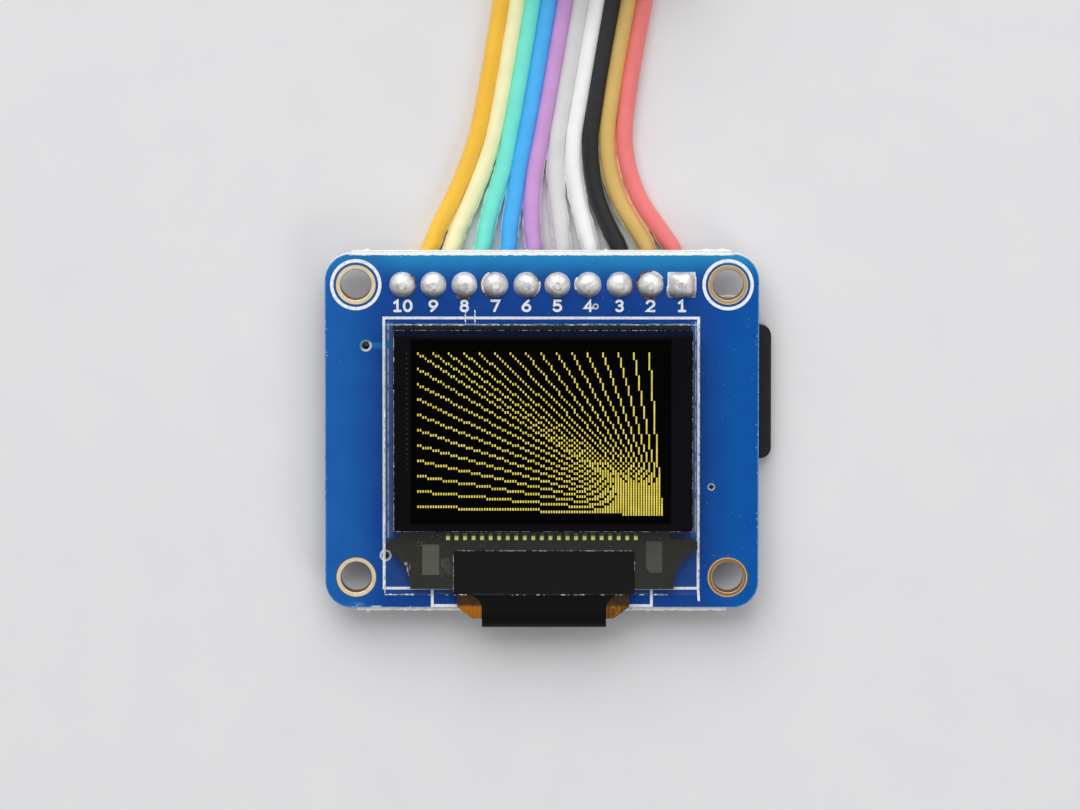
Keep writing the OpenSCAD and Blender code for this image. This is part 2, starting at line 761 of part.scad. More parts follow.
function across(i) = (i - (pins - 1) / 2) * wire_pitch;
function hank_face(i) =
    [hank_x + across(i) * cos(hank_lean), hank_y - across(i) * sin(hank_lean), wire_z];
function route(i) = concat(
    [[pin_x(i) + bare_l * sin(leave(i)), pin_y + bare_l * cos(leave(i)), wire_z]],
    [for (p = WIRES[i][2]) [p[0], p[1], wire_z]],
    [hank_face(i)]
);
function unit(v) = v / norm(v);
function heading(p, k, last) =
    k == 0 ? unit(p[1] - p[0]) :
    k == len(p) - 1 ? last : unit(unit(p[k] - p[k - 1]) + unit(p[k + 1] - p[k]));

// Tube swept along points p, with its last face square to the direction `last`
module tube(p, d, last, sides = 8) {
    n = len(p);
    points = [for (k = [0 : n - 1]) let (t = heading(p, k, last), s = unit(cross(t, [0, 0, 1])))
        for (j = [0 : sides - 1]) let (a = (j + 0.5) * 360 / sides)
            p[k] + d / 2 * (cos(a) * s + sin(a) * cross(s, t))];
    walls = [for (k = [0 : n - 2], j = [0 : sides - 1]) let (a = k * sides + j,
        b = k * sides + (j + 1) % sides) each [[a, b, b + sides], [a, b + sides, a + sides]]];
    polyhedron(points, concat(
        walls, [[for (j = [sides - 1 : -1 : 0]) j]], [[for (j = [0 : sides - 1]) (n - 1) * sides + j]]
    ));
}

module wire(i) {
    color(WIRES[i][1]) tube(route(i), wire_d, [sin(hank_lean), cos(hank_lean), 0]);
}

// Side view of the folded ribbon: x along it, y up. The upper run ends at the plugs
module hank_outline() {
    loop_y = wire_d / 2 + loop_r;
    outer = loop_r + wire_d / 2;
    loop_top = 90 + loop_fall;
    slope = [hank_l, loop_y] + outer * [cos(loop_top), sin(loop_top)];
    foot = slope[0] - (slope[1] - 2 * wire_d) / tan(loop_fall);
    plug_end = plug_s + plug_l;
    polygon(concat(
        [[0, 0], [hank_l, 0]],
        [for (a = [-85 : 7.5 : loop_top - 5]) [hank_l, loop_y] + outer * [cos(a), sin(a)]],
        [slope, [foot, 2 * wire_d], [plug_end + 10, 2 * wire_d],
            [plug_end, wire_d + 2 * plug_w - 0.6], [plug_end, wire_d], [0, wire_d]]
    ));
}

module cable_hank() {
    color([0.55, 0.55, 0.58]) in_hank() difference() {
        along_x(ribbon_w) hank_outline();
        translate([-20, band_s - band_w / 2, -1]) cube([40, band_w, 1 + band_t]);
    }
}

// Stretch band round both runs of the folded ribbon
module cable_band() {
    h = 2 * wire_d;
    color([0.15, 0.15, 0.16]) in_hank() translate([0, band_s + band_w / 2, (h + band_t) / 2])
        rotate([90, 0, 0]) linear_extrude(band_w) difference() {
            round_rect(ribbon_w + 2 * band_t + 0.1, h + band_t, 0.3);
            square([ribbon_w + 0.1, h - band_t], center = true);
        }
}

// Plugs lie on the lower run in two layers: even wires below, odd wires above
module at_plug(i) {
    column = floor(i / 2) - 2;
    in_hank() translate([column * plug_step, plug_s, wire_d + plug_w * (i % 2)]) children();
}

// Single-way housing, y along it from the mating face, with a contact bay and a latch window
module plug_housing(i) {
    bay = 1.7;
    mouth = 0.95;
    front = 0.9;
    color(black_plastic) at_plug(i) difference() {
        translate([0, plug_l, plug_w / 2]) rotate([90, 0, 0])
            linear_extrude(plug_l) round_rect(plug_w, plug_w, 0.2);
        translate([-bay / 2, front, (plug_w - bay) / 2]) cube([bay, plug_l, bay]);
        translate([-mouth / 2, -1, (plug_w - mouth) / 2]) cube([mouth, 3, mouth]);
        translate([0, 0, plug_w / 2]) rotate([-90, 45, 0]) translate([0, 0, -eps])
            cylinder(d1 = 2.1, d2 = 1.3, h = 0.4, $fn = 4);
        translate([-0.6, 4, plug_w / 2]) cube([1.2, 3, plug_w]);
    }
}

// Crimped contact in each housing: a square box for the pin and a barrel on the wire
module plug_contacts() {
    box = 1.5;
    color(tin) for (i = [0 : pins - 1]) at_plug(i) translate([0, 0.9, 0]) {
        translate([0, 6.2, plug_w / 2 - 0.1]) rotate([90, 0, 0]) linear_extrude(6.2) difference() {
            square(box, center = true);
            square(box - 0.4, center = true);
        }
        translate([0, 6.2, plug_w / 2 - 0.1]) rotate([-90, 0, 0]) cylinder(d = 1.3, h = 3.4, $fn = 24);
    }
}

circuit_board();
mounting_hole_lands();
header_lands();
header_solder();
wire_strands();
adhesive_pad();
cap_glass();
panel_glass();
polarizer();
pixel_matrix();
panel_contacts();
flex_tail();
driver_chip();
flex_tape();
flex_solder();
socket_base();
socket_shell();
socket_springs();
memory_card();
card_contacts();
level_shifter();
level_shifter_leads();
regulator();
boost_converter();
small_chip_leads();
inductor_shield();
inductor_core();
diode();
diode_tabs();
capacitors();
capacitor_ends();
resistors();
resistor_ends();
component_lands();
wire(0);  // wire_orange
wire(1);  // wire_yellow
wire(2);  // wire_green
wire(3);  // wire_blue
wire(4);  // wire_purple
wire(5);  // wire_grey
wire(6);  // wire_white
wire(7);  // wire_black
wire(8);  // wire_brown
wire(9);  // wire_red
cable_hank();
cable_band();
plug_housing(0);  // plug_orange
plug_housing(1);  // plug_yellow
plug_housing(2);  // plug_green
plug_housing(3);  // plug_blue
plug_housing(4);  // plug_purple
plug_housing(5);  // plug_grey
plug_housing(6);  // plug_white
plug_housing(7);  // plug_black
plug_housing(8);  // plug_brown
plug_housing(9);  // plug_red
plug_contacts();
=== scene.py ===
import math
import random

import bmesh
import bpy
from mathutils import Matrix, Vector, noise


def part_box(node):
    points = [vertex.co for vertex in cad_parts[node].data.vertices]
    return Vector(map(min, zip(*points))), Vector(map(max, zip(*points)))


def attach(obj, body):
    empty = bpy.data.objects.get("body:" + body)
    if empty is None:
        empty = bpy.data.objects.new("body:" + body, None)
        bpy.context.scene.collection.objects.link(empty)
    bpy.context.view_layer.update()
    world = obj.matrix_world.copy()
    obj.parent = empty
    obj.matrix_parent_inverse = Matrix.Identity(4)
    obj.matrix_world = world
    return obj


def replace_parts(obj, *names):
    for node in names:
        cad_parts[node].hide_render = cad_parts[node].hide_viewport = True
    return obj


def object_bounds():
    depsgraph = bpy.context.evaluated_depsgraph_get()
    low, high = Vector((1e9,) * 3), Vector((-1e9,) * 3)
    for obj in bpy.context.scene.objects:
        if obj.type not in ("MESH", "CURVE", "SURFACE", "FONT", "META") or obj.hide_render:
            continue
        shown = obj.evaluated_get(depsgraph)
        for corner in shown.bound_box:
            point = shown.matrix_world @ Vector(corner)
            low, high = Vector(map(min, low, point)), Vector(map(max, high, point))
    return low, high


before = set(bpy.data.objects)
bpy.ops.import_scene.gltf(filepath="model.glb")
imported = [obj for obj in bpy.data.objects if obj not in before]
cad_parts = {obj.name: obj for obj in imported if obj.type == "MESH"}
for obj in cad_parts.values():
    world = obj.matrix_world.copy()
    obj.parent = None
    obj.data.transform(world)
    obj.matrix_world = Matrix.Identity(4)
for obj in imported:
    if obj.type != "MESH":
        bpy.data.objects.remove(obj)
cad_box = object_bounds()
scene = bpy.context.scene
scene.view_settings.view_transform = "Standard"
MM = 0.001


# ---- Camera ----
# A long lens looks down on the face of the module, leaning a little towards the
# header, so that the snapped edge of the board shows above the blue face.
seen_w = 88.52 * MM
lens_away = 800 * MM
lens_lean = math.radians(6.4)
lens_roll = math.radians(0.02)
aim = Vector((-0.156, 2.16, 0)) * MM

camera = bpy.data.objects.new("camera", bpy.data.cameras.new("camera"))
camera.data.sensor_width = 36
camera.data.lens = camera.data.sensor_width * lens_away / seen_w
camera.data.clip_start, camera.data.clip_end = 0.01, 10
camera.matrix_world = (
    Matrix.Translation(aim)
    @ Matrix.Rotation(-lens_lean, 4, "X")
    @ Matrix.Rotation(lens_roll, 4, "Z")
    @ Matrix.Translation((0, 0, lens_away))
)
scene.collection.objects.link(camera)
scene.camera = camera


# ---- Ribbon of ten wires ----
# Stranded copper wires in soft vinyl, bonded side by side as one flat ribbon. Near the
# board the bond is peeled back, so that each wire can reach its own hole.
class Value:
    """What a shader socket gives. Its operators add Math nodes, so a finish reads as sums."""

    def __init__(self, graph, socket):
        self.graph = graph
        self.socket = socket

    def __getitem__(self, name):
        return Value(self.graph, self.socket.node.outputs[name])

    def work_out(self, operation, a, b=0.0):
        return self.graph.node("ShaderNodeMath", {"operation": operation}, {0: a, 1: b})

    def __add__(self, other):
        return self.work_out("ADD", self, other)

    def __sub__(self, other):
        return self.work_out("SUBTRACT", self, other)

    def __rsub__(self, other):
        return self.work_out("SUBTRACT", other, self)

    def __mul__(self, other):
        return self.work_out("MULTIPLY", self, other)

    def __pow__(self, other):
        return self.work_out("POWER", self, other)

    def __abs__(self):
        return self.work_out("ABSOLUTE", self)

    __radd__ = __add__
    __rmul__ = __mul__

    def at_least(self, other):
        return self.work_out("MAXIMUM", self, other)

    def wave(self):
        return self.work_out("SINE", self)

    def ramp(self, start, end):
        """0 up to `start` and 1 from `end` on, with a soft rise between. It may run downwards."""
        sides = {"Value": self, "From Min": start, "From Max": end}
        return self.graph.node("ShaderNodeMapRange", {"interpolation_type": "SMOOTHSTEP"}, sides)


def paint(r, g, b):
    """A colour from 0-255 screen values, as the linear one that shaders take."""
    return tuple(
        c / 255 / 12.92 if c < 10.3 else ((c / 255 + 0.055) / 1.055) ** 2.4 for c in (r, g, b)
    )


class Graph:
    """The nodes of a material or of the world."""

    def __init__(self, tree):
        self.tree = tree

    def fill(self, node, sockets):
        for key, value in sockets.items():
            socket = node.inputs[key]
            if isinstance(value, Value):
                self.tree.links.new(value.socket, socket)
            elif socket.type == "RGBA":
                socket.default_value = (*value, 1)
            else:
                socket.default_value = value

    def node(self, kind, settings, sockets, out=0):
        made = self.tree.nodes.new(kind)
        for key, value in settings.items():
            setattr(made, key, value)
        self.fill(made, sockets)
        return Value(self, made.outputs[out])

    def split(self, vector):
        return self.node("ShaderNodeSeparateXYZ", {}, {"Vector": vector})

    def blend(self, share, a, b):
        return self.node("ShaderNodeMix", {"data_type": "RGBA"}, {0: share, 6: a, 7: b}, 2)

    def coats(self, colour, *coats):
        """A colour with others laid over it in turn, each by its own share."""
        for share, tone in coats:
            colour = self.blend(share, colour, tone)
        return colour


class Finish(Graph):
    """One material. What is the same all over is given as plain numbers for its shader."""

    def __init__(self, name, specular=0.5, **plain):
        self.material = bpy.data.materials.new(name)
        self.material.use_nodes = True
        super().__init__(self.material.node_tree)
        self.shader = self.tree.nodes["Principled BSDF"]
        self.fill(self.shader, {"Specular IOR Level": specular, **plain})

    def place(self, stretch=(1, 1, 1)):
        """The point on the object, in millimetres."""
        point = self.node("ShaderNodeTexCoord", {}, {}, "Object")
        scale = {0: point, 1: [s / MM for s in stretch]}
        return self.node("ShaderNodeVectorMath", {"operation": "MULTIPLY"}, scale)

    def spot(self):
        """The same point as its x, y and z."""
        at = self.split(self.place())
        return at["X"], at["Y"], at["Z"]

    def upness(self):
        """1 where a face looks up, 0 on an upright one and -1 below."""
        return self.split(self.node("ShaderNodeNewGeometry", {}, {}, "True Normal"))["Z"]

    def cloud(self, per_mm, detail=2.0, stretch=(1, 1, 1)):
        """Soft noise from 0 to 1, with about `per_mm` blobs to the millimetre."""
        sockets = {"Vector": self.place(stretch), "Scale": per_mm, "Detail": detail}
        return self.node("ShaderNodeTexNoise", {}, sockets)

    def dots(self, per_mm, stretch=(1, 1, 1)):
        """Distance to the nearest of many scattered points, about 0 to 1."""
        return self.node("ShaderNodeTexVoronoi", {}, {"Vector": self.place(stretch), "Scale": per_mm})

    def relief(self, height, depth):
        """Bumps: heights from 0 to 1 stand for `depth` millimetres."""
        return self.node("ShaderNodeBump", {}, {"Distance": depth * MM, "Height": height}, "Normal")

    def put(self, sockets):
        self.fill(self.shader, sockets)
        return self

    def tones(self, share, dark, pale, **more):
        """Two tones mixed by a share, with what else changes over the surface."""
        return self.put({"Base Color": self.blend(share, paint(*dark), paint(*pale)), **more})


floor_z = cad_box[0].z / MM
pins = 10
pin_pitch = 2.54
pin_y = 12.065
wire_d = 1.38
wire_pitch = 1.29
wire_z = floor_z + wire_d / 2
bare_l = 1.2
fan_y = (14.7, 16.3, 18.7, 21.2, 23.8, 27)

# Each jacket's colour, and how far across the wire lies at the places in fan_y.
WIRES = {
    "orange": ((255, 200, 62), (-9.25, -8.6, -7.4, -6.3, -5.4, -4.7)),
    "yellow": ((255, 252, 200), (-7.4, -6.9, -5.9, -4.9, -4.05, -3.4)),
    "green": ((122, 240, 222), (-4.9, -4.6, -4, -3.2, -2.7, -2.1)),
    "blue": ((78, 186, 255), (-2.75, -2.65, -2.3, -1.9, -1.4, -0.8)),
    "purple": ((212, 160, 222), (-0.65, -0.8, -0.85, -0.6, -0.1, 0.5)),
    "grey": ((226, 226, 226), (1.7, 1.55, 1.25, 1.1, 1.25, 1.8)),
    "white": ((255, 255, 254), (4, 3.6, 3, 2.6, 2.6, 3.1)),
    "black": ((38, 38, 41), (6.35, 5.6, 4.6, 4.1, 3.95, 4.4)),
    "brown": ((222, 186, 108), (8.65, 7.8, 6.4, 5.6, 5.35, 5.7)),
    "red": ((248, 130, 128), (10.75, 9.7, 8.1, 7.15, 6.75, 7)),
}

# The folded store: where it lies, its loop, and where the wires part for their plugs.
hank = Matrix.Translation((3, 38, floor_z)) @ Matrix.Rotation(math.radians(-9.4), 4, "Z")
hank_l = 49
loop_r = 4.05
loop_end = 125
ease_r = 8
upper_z = 1.5 * wire_d
split_s = 26
plug_end = 16
plug_w = 2.5
lip_end = 25.5


def pin_x(i):
    return (i - (pins - 1) / 2) * pin_pitch


def arc(cx, cy, radius, start, end, steps):
    """Points round a centre, from one angle to another in degrees."""
    turns = [math.radians(start + (end - start) * k / steps) for k in range(steps + 1)]
    return [(cx + radius * math.cos(a), cy + radius * math.sin(a)) for a in turns]


def line_through(points, first, last, steps=8):
    """A smooth line through the points, which starts and ends in the given directions."""
    middle = [
        ((b - a).normalized() + (c - b).normalized()).normalized()
        for a, b, c in zip(points, points[1:], points[2:])
    ]
    ways = [first.normalized(), *middle, last.normalized()]
    line = []
    for a, b, leave, arrive in zip(points, points[1:], ways, ways[1:]):
        reach = (b - a).length
        for t in (k / steps for k in range(steps)):
            line.append(
                a * (1 + 2 * t) * (1 - t) ** 2
                + b * t * t * (3 - 2 * t)
                + leave * reach * t * (1 - t) ** 2
                - arrive * reach * t * t * (1 - t)
            )
    return line + [points[-1]]


def fold_line():
    """The folded store seen from its side: out, round the loop, down and back to the split."""
    out = [(s, wire_d / 2) for s in range(0, hank_l, 2)]
    loop = arc(hank_l, wire_d / 2 + loop_r, loop_r, -90, loop_end, 24)
    fall = math.radians(loop_end - 90)
    drop = loop[-1][1] - (upper_z + ease_r * (1 - math.cos(fall)))
    ease_s = loop[-1][0] - drop / math.tan(fall) - ease_r * math.sin(fall)
    ease = arc(ease_s, upper_z + ease_r, ease_r, math.degrees(fall) - 90, -90, 8)
    back = [(s, upper_z) for s in range(int(ease_s) - 1, split_s - 1, -2)]
    return out + loop + ease + back


def wire_line(i, fan_x):
    """One wire, from its bare end under the board to inside its plug."""
    fan = [Vector((x, y, wire_z)) for x, y in zip(fan_x, fan_y)]
    leave = (fan[0] - Vector((pin_x(i), pin_y, wire_z))).normalized()
    start = Vector((pin_x(i), pin_y, wire_z)) + bare_l * leave
    across = (i - (pins - 1) / 2) * wire_pitch
    store = [hank @ Vector((across, s, h)) for s, h in fold_line()]
    column = (i // 2 - 2) * 2 * wire_pitch
    plug_z = wire_d + plug_w / 2 + plug_w * (i % 2)
    ends = [hank @ Vector((column, s, plug_z)) for s in (plug_end, plug_end - 1.5)]
    along = hank.to_3x3() @ Vector((0, 1, 0))
    fanned = line_through([start, *fan, store[0]], leave, along)
    parted = line_through([store[-1], ends[0]], -along, -along, 12)
    return fanned + store[1:-1] + parted + ends[1:]


def cord_curve(name, line, diameter, finish):
    """A round cord along a dense line."""
    curve = bpy.data.curves.new(name, "CURVE")
    curve.dimensions = "3D"
    curve.bevel_depth = diameter / 2 * MM
    curve.bevel_resolution = 5
    curve.use_fill_caps = True
    spline = curve.splines.new("POLY")
    spline.points.add(len(line) - 1)
    for point, place in zip(spline.points, line):
        point.co = (*place * MM, 1)
    curve.materials.append(finish.material)
    cord = bpy.data.objects.new(name, curve)
    scene.collection.objects.link(cord)
    return cord


def jacket(name, colour):
    """Soft vinyl: a little uneven in tone, with drag lines from the die and some dust."""
    vinyl = Finish("jacket_" + name)
    base = paint(*colour)
    shade = vinyl.cloud(0.7, 3)
    toned = vinyl.blend(shade.ramp(0.3, 0.75), tuple(c * 0.93 for c in base), base)
    dust = vinyl.dots(3.5).ramp(0.07, 0.03) * vinyl.cloud(1.5).ramp(0.52, 0.6)
    drag = vinyl.cloud(5, 3, (1, 0.12, 1))
    return vinyl.put({
        "Base Color": vinyl.blend(dust * 0.5, toned, paint(235, 235, 230)),
        "Roughness": 0.3 + shade * 0.14 + dust * 0.2,
        "Normal": vinyl.relief(drag + dust * 0.5, 0.012),
    })


class Shape:
    """Vertices and faces of a piece while it is made, in millimetres."""

    def __init__(self):
        self.verts = []
        self.faces = []
        self.strokes = 0

    def loft(self, rings, closed=False):
        """Joins rings of points into a skin. An open one gets a lid at each end."""
        base, size = len(self.verts), len(rings[0])
        self.verts += [p for ring in rings for p in ring]
        spans = len(rings) if closed else len(rings) - 1
        for k in range(spans):
            a, b = base + k * size, base + (k + 1) % len(rings) * size
            for j in range(size):
                self.faces.append((a + j, a + (j + 1) % size, b + (j + 1) % size, b + j))
        if not closed:
            self.faces.append(tuple(range(base + size - 1, base - 1, -1)))
            self.faces.append(tuple(range(base + (len(rings) - 1) * size, len(self.verts))))

    def slab(self, outline, low, high):
        """A flat plate: an outline seen from above, counter-clockwise."""
        self.loft([[(px, py, h) for px, py in outline] for h in (low, high)])

    def block(self, left, right, near, far, low, high):
        self.slab([(left, near), (right, near), (right, far), (left, far)], low, high)

    def stroke(self, points, width, low, high, closed=False):
        """A flat band of even width along the points, with round ends. Each is a hair
        thicker than the last, and thickens as it goes, so that no two faces coincide."""
        points = [Vector(p) for p in points]
        hair = 0.0008
        self.strokes += 1
        grown = self.strokes % 9 * hair * 2
        count = len(points)
        stations = []
        for k, p in enumerate(points):
            before = points[k - 1] if closed or k else None
            after = points[(k + 1) % count] if closed or k < count - 1 else None
            steps = [(b - a).normalized() for a, b in ((before, p), (p, after)) if a and b]
            way = sum(steps, Vector((0, 0))).normalized()
            mitre = 1 / max(0.5, way.dot(steps[0]))
            stations.append((p, way, width / 2 * mitre))
        if not closed:
            r = width / 2
            turns = [math.radians(a) for a in (80, 55, 28)]
            (p, way, _), (q, on, _) = stations[0], stations[-1]
            head = [(p - way * r * math.sin(a), way, r * math.cos(a)) for a in turns]
            tail = [(q + on * r * math.sin(a), on, r * math.cos(a)) for a in reversed(turns)]
            stations = head + stations + tail
        rings = []
        for p, way, half in stations:
            side = Vector((-way.y, way.x)) * half
            left, right = p + side, p - side
            bottom, top = low - grown, high + grown
            rings.append([(*left, bottom), (*right, bottom), (*right, top), (*left, top)])
            grown += 0 if closed else hair * 0.7
        self.loft(rings, closed)

    def ring(self, cx, cy, radius, width, low, high, corners=24):
        """A flat ring of even width round a centre."""
        last = 360 - 360 / corners
        self.stroke(arc(cx, cy, radius, 0, last, corners - 1), width, low, high, True)

    def piece(self, name, finish, slot, smooth=False):
        """Makes the piece, fixed to the object."""
        mesh = bpy.data.meshes.new(name)
        mesh.from_pydata([Vector(v) * MM for v in self.verts], [], self.faces)
        mesh.materials.append(finish.material)
        mesh.update()
        if smooth:
            mesh.shade_smooth()
        made = bpy.data.objects.new(name, mesh)
        scene.collection.objects.link(made)
        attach(made, "root")
        return made


def rough(px, py, size, seed):
    """Uneven amount from -1 to 1 that changes over about `size` millimetres."""
    return noise.noise(Vector((px / size, py / size, seed)))


def torn_lips(shape, line, sides):
    """The thin ragged lips that the torn bond left along a wire, on the given sides."""
    for side in sides:
        rings = []
        for k, (place, after) in enumerate(zip(line, line[1:])):
            if place.y > lip_end:
                break
            across = (after - place).cross(Vector((0, 0, 1))).normalized() * side
            out = 0.07 + 0.07 * rough(k, place.x, 2.2, side) + random.uniform(-0.03, 0.03)
            lift = 0.12 * rough(k, place.y, 6, side)
            root = place + across * (wire_d / 2 - 0.06)
            tip = place + across * (wire_d / 2 + max(0.0, out))
            rise = Vector((0, 0, 0.13))
            rings.append([root - rise, tip + rise * lift, root + rise])
        shape.loft(rings if side > 0 else [ring[::-1] for ring in rings])


random.seed(7)
for i, (name, (colour, fan_x)) in enumerate(WIRES.items()):
    line = wire_line(i, fan_x)
    vinyl = jacket(name, colour)
    cord = cord_curve("lead_" + name, line, wire_d, vinyl)
    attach(cord, "root")
    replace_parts(cord, "wire_" + name, "cable_hank")
    lips = Shape()
    torn_lips(lips, line, [side for side in (-1, 1) if 0 <= i + side < pins])
    paler = tuple(c + (255 - c) * 0.45 for c in colour)
    lip = lips.piece("torn_lips_" + name, jacket(name + "_torn", paler), "jacket_" + name)
    line[0] * MM


# ---- Plugs and band ----
# Single black housings, each clipped over a crimped contact, on the free end of every
# wire. A rubber band holds the folded ribbon.
def dress(finish, *nodes):
    """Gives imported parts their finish."""
    for node in nodes:
        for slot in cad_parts[node].material_slots:
            slot.material = finish.material


housing = Finish("plug_plastic", 0.4)
sheen = housing.cloud(0.7, 3)
housing.tones(
    sheen, (26, 26, 28), (38, 38, 41),
    Roughness=0.4 + sheen * 0.25,
    Normal=housing.relief(housing.cloud(9, 2), 0.01),
)
dress(housing, *("plug_" + name for name in WIRES))

rubber = Finish("band_rubber", 0.3)
bloom = rubber.cloud(1.2, 4)
rubber.tones(
    bloom, (34, 34, 36), (60, 60, 62),
    Roughness=0.6 + bloom * 0.25,
    Normal=rubber.relief(rubber.cloud(6, 3), 0.03),
)
dress(rubber, "cable_band")


def tinned(name, dull, colour=(214, 212, 206), metal=1.0):
    """Tin over copper: bright, with dull clouds and fine scratches."""
    tin = Finish(name, Metallic=metal)
    tarnish = tin.cloud(1.6, 4)
    darker = tuple(c * 0.8 for c in colour)
    return tin.tones(
        tarnish.ramp(0.35, 0.7), darker, colour,
        Roughness=dull + tarnish * 0.2,
        Normal=tin.relief(tin.cloud(14, 3), 0.006),
    )


dress(tinned("tinned_copper", 0.18), "plug_contacts")
dress(tinned("soldered_tip", 0.34, (252, 251, 249), 0.45), "wire_strands")


# ---- Circuit board ----
# Woven glass and epoxy, 1.6 mm thick, under blue solder mask. The sides are routed, and
# the long edges were scored and snapped, which leaves a torn web of pale glass fibre.
board_lo, board_hi = (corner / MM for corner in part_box("circuit_board"))
web_out = 0.2
board_w = board_hi.x - board_lo.x
board_h = board_hi.y - board_lo.y - 2 * web_out
corner_r = 2.2
back_z = board_lo.z
hole_dx, hole_dy = 30.48, 24.13
land_r = 1.625

mask = Finish("solder_mask", 0.12)
x, y, z = mask.spot()
mottle = mask.cloud(0.35, 4)


def lacquer(r, g, b):
    """The blue of the mask at one place, uneven from the copper and glass below it."""
    return mask.blend(mottle, paint(r - 6, g - 8, b - 9), paint(r + 6, g + 8, b + 9))


def distance(across, along):
    """Straight distance from two at right angles."""
    return (across * across + along * along) ** 0.5


def from_hole(x, y):
    """Distance to the centre of the nearest mounting hole."""
    return distance(abs(x) - hole_dx / 2, abs(y) - hole_dy / 2)


# Where the blue is painted lighter towards the outer sides, under a painted sheen near the snapped
# top edge, with a painted highlight along the routed rim and a painted glint beside the glass; and
# where it is worn, nicked or gone.
inset_x = (abs(x) - (board_w / 2 - corner_r)).at_least(0)
inset_y = (abs(y) - (board_h / 2 - corner_r)).at_least(0)
rim = distance(inset_x, inset_y)
# Painted sheen: the blue near the snapped top edge is painted paler, less so at the left.
sheen = y.ramp(11.6, 14.9) ** 1.5 * z.ramp(-1.4, -0.2) * (1 - x.ramp(-11, -14.5) * 0.45)
undercut = from_hole(x, y).ramp(land_r + 0.14, land_r + 0.06)
grit = (mask.cloud(0.6) + x.ramp(-8, 16) * 0.2).ramp(0.5, 0.6)
specks = mask.dots(1.6).ramp(0.06, 0.03) * grit
# Painted highlight: a pale line along the rounded rim of the board.
rim_highlight = rim.ramp(corner_r - 0.12, corner_r - 0.05) * mask.cloud(3, 3).ramp(0.3, 0.5)
nicks = mask.dots(2.6).ramp(0.14, 0.08) * rim.ramp(corner_r - 0.34, corner_r - 0.12)
low_left = abs(x + 15.2).ramp(0.85, 0.2) * y.ramp(-14.0, -14.5)
crushed = low_left * mask.cloud(3.4, 4).ramp(0.42, 0.6)
lifted = abs(x + 13.6).ramp(0.5, 0.3) * y.ramp(-14.38, -14.5)
by_glass = abs(abs(x) - 12.55).ramp(0.36, 0.28) * abs(y - 0.1).ramp(9.0, 8.8)
glint = abs(abs(x) - 12.6).ramp(0.07, 0.03) * by_glass * mask.cloud(1.2, 4).ramp(0.35, 0.55)
snapped = (y + mask.cloud(2.5, 4) * 0.2).ramp(14.56, 14.61)
bare = snapped * z.ramp(-0.2, -0.02) * abs(x).ramp(16, 15.4)
poured = mask.coats(
    lacquer(18, 68, 148),
    # painted light: lighter towards both outer sides, then paler under the painted sheen
    (x.ramp(-12, -17), lacquer(25, 94, 170)),
    (x.ramp(12.6, 16.5), lacquer(6, 84, 164)),
    (sheen, lacquer(38, 140, 198)),
    (undercut, paint(60, 80, 130)),
    (specks * 0.7, paint(165, 215, 235)),
    (rim_highlight * 0.7, paint(105, 165, 218)),
    (nicks * 0.8, paint(215, 232, 240)),
    (crushed * 0.6, paint(120, 180, 222)),
    (lifted * 0.8, paint(200, 228, 240)),
    (by_glass * 0.35, paint(92, 126, 176)),
    (glint * 0.7, paint(206, 212, 220)),
    (bare, paint(240, 242, 240)),
)
cut = abs(mask.upness()).ramp(0.97, 0.9)
plies = (z * 38 + mask.cloud(2, 2) * 3).wave() * 0.5 + 0.5
laminate = mask.blend(plies, paint(218, 221, 212), paint(240, 242, 238))
weave = ((x * 11).wave() * (y * 11).wave()) * 0.5 + 0.5
mask.put({
    "Base Color": mask.blend(cut, poured, laminate),
    "Roughness": 0.32 + mottle * 0.1 + cut * 0.4,
    "Normal": mask.relief(weave * 0.25 + mottle + cut * mask.cloud(6, 4) * 3 + specks, 0.01),
})
dress(mask, "circuit_board")


# ---- Snapped edges ----
# What is left of the web that joined this board to its neighbours: torn glass fibre
# and epoxy along both long edges, between the routed corners.
fibre = Finish("torn_laminate", 0.3, Roughness=0.8)
tuft = fibre.cloud(4, 5, (1, 2.5, 2.5))
fibre.tones(tuft.ramp(0.3, 0.6), (228, 230, 226), (252, 252, 251), Normal=fibre.relief(tuft, 0.03))


def torn_web(side, reach, half_l, burrs):
    """One edge's web: a long strip whose outer face is ragged, with some larger burrs."""
    web = Shape()
    step = 0.09
    rings = []
    for k in range(int(2 * half_l / step) + 1):
        px = -half_l + k * step
        taper = min(1, (half_l - abs(px)) / 1.6 + 0.02)
        out = reach * (0.7 + 0.5 * rough(px, side, 0.9, 1) + 0.5 * rough(px, side, 0.22, 2))
        out += 0.5 * max(0, rough(px, side, 0.5, 6) - 0.42)
        out = max(0.02, out + 0.16 * reach * random.uniform(-1, 1)) * taper
        out += sum(size * math.exp(-((px - burr_x) / spread) ** 2) for burr_x, spread, size in burrs)
        top = -0.42 + 0.14 * rough(px, side, 0.5, 3)
        low = -1.2 + 0.14 * rough(px, side, 0.5, 4)
        ridge = -0.8 + 0.22 * rough(px, side, 0.35, 5)
        edge = board_h / 2 + web_out
        section = [(-0.3, top), (0.02, top + 0.12), (out * 0.7, top - 0.05), (out, ridge),
                   (out * 0.65, low + 0.08), (-0.3, low)]
        rings.append([(px, side * (edge + y_out), h) for y_out, h in section])
    web.loft(rings if side > 0 else [ring[::-1] for ring in rings])
    return web


random.seed(4)
for name, side, reach, half_l, burrs in (
    ("torn_edge_top", 1, 0.035, 15.6, ((-14.3, 0.2, 0.13), (13.4, 0.5, 0.1), (14.8, 0.5, 0.13))),
    ("torn_edge_low", -1, 0.15, 15.2, ((-14.3, 0.14, 0.24), (14.6, 0.2, 0.12), (12.1, 0.3, 0.06))),
):
    torn_web(side, reach, half_l, burrs).piece(name, fibre, "solder_mask")


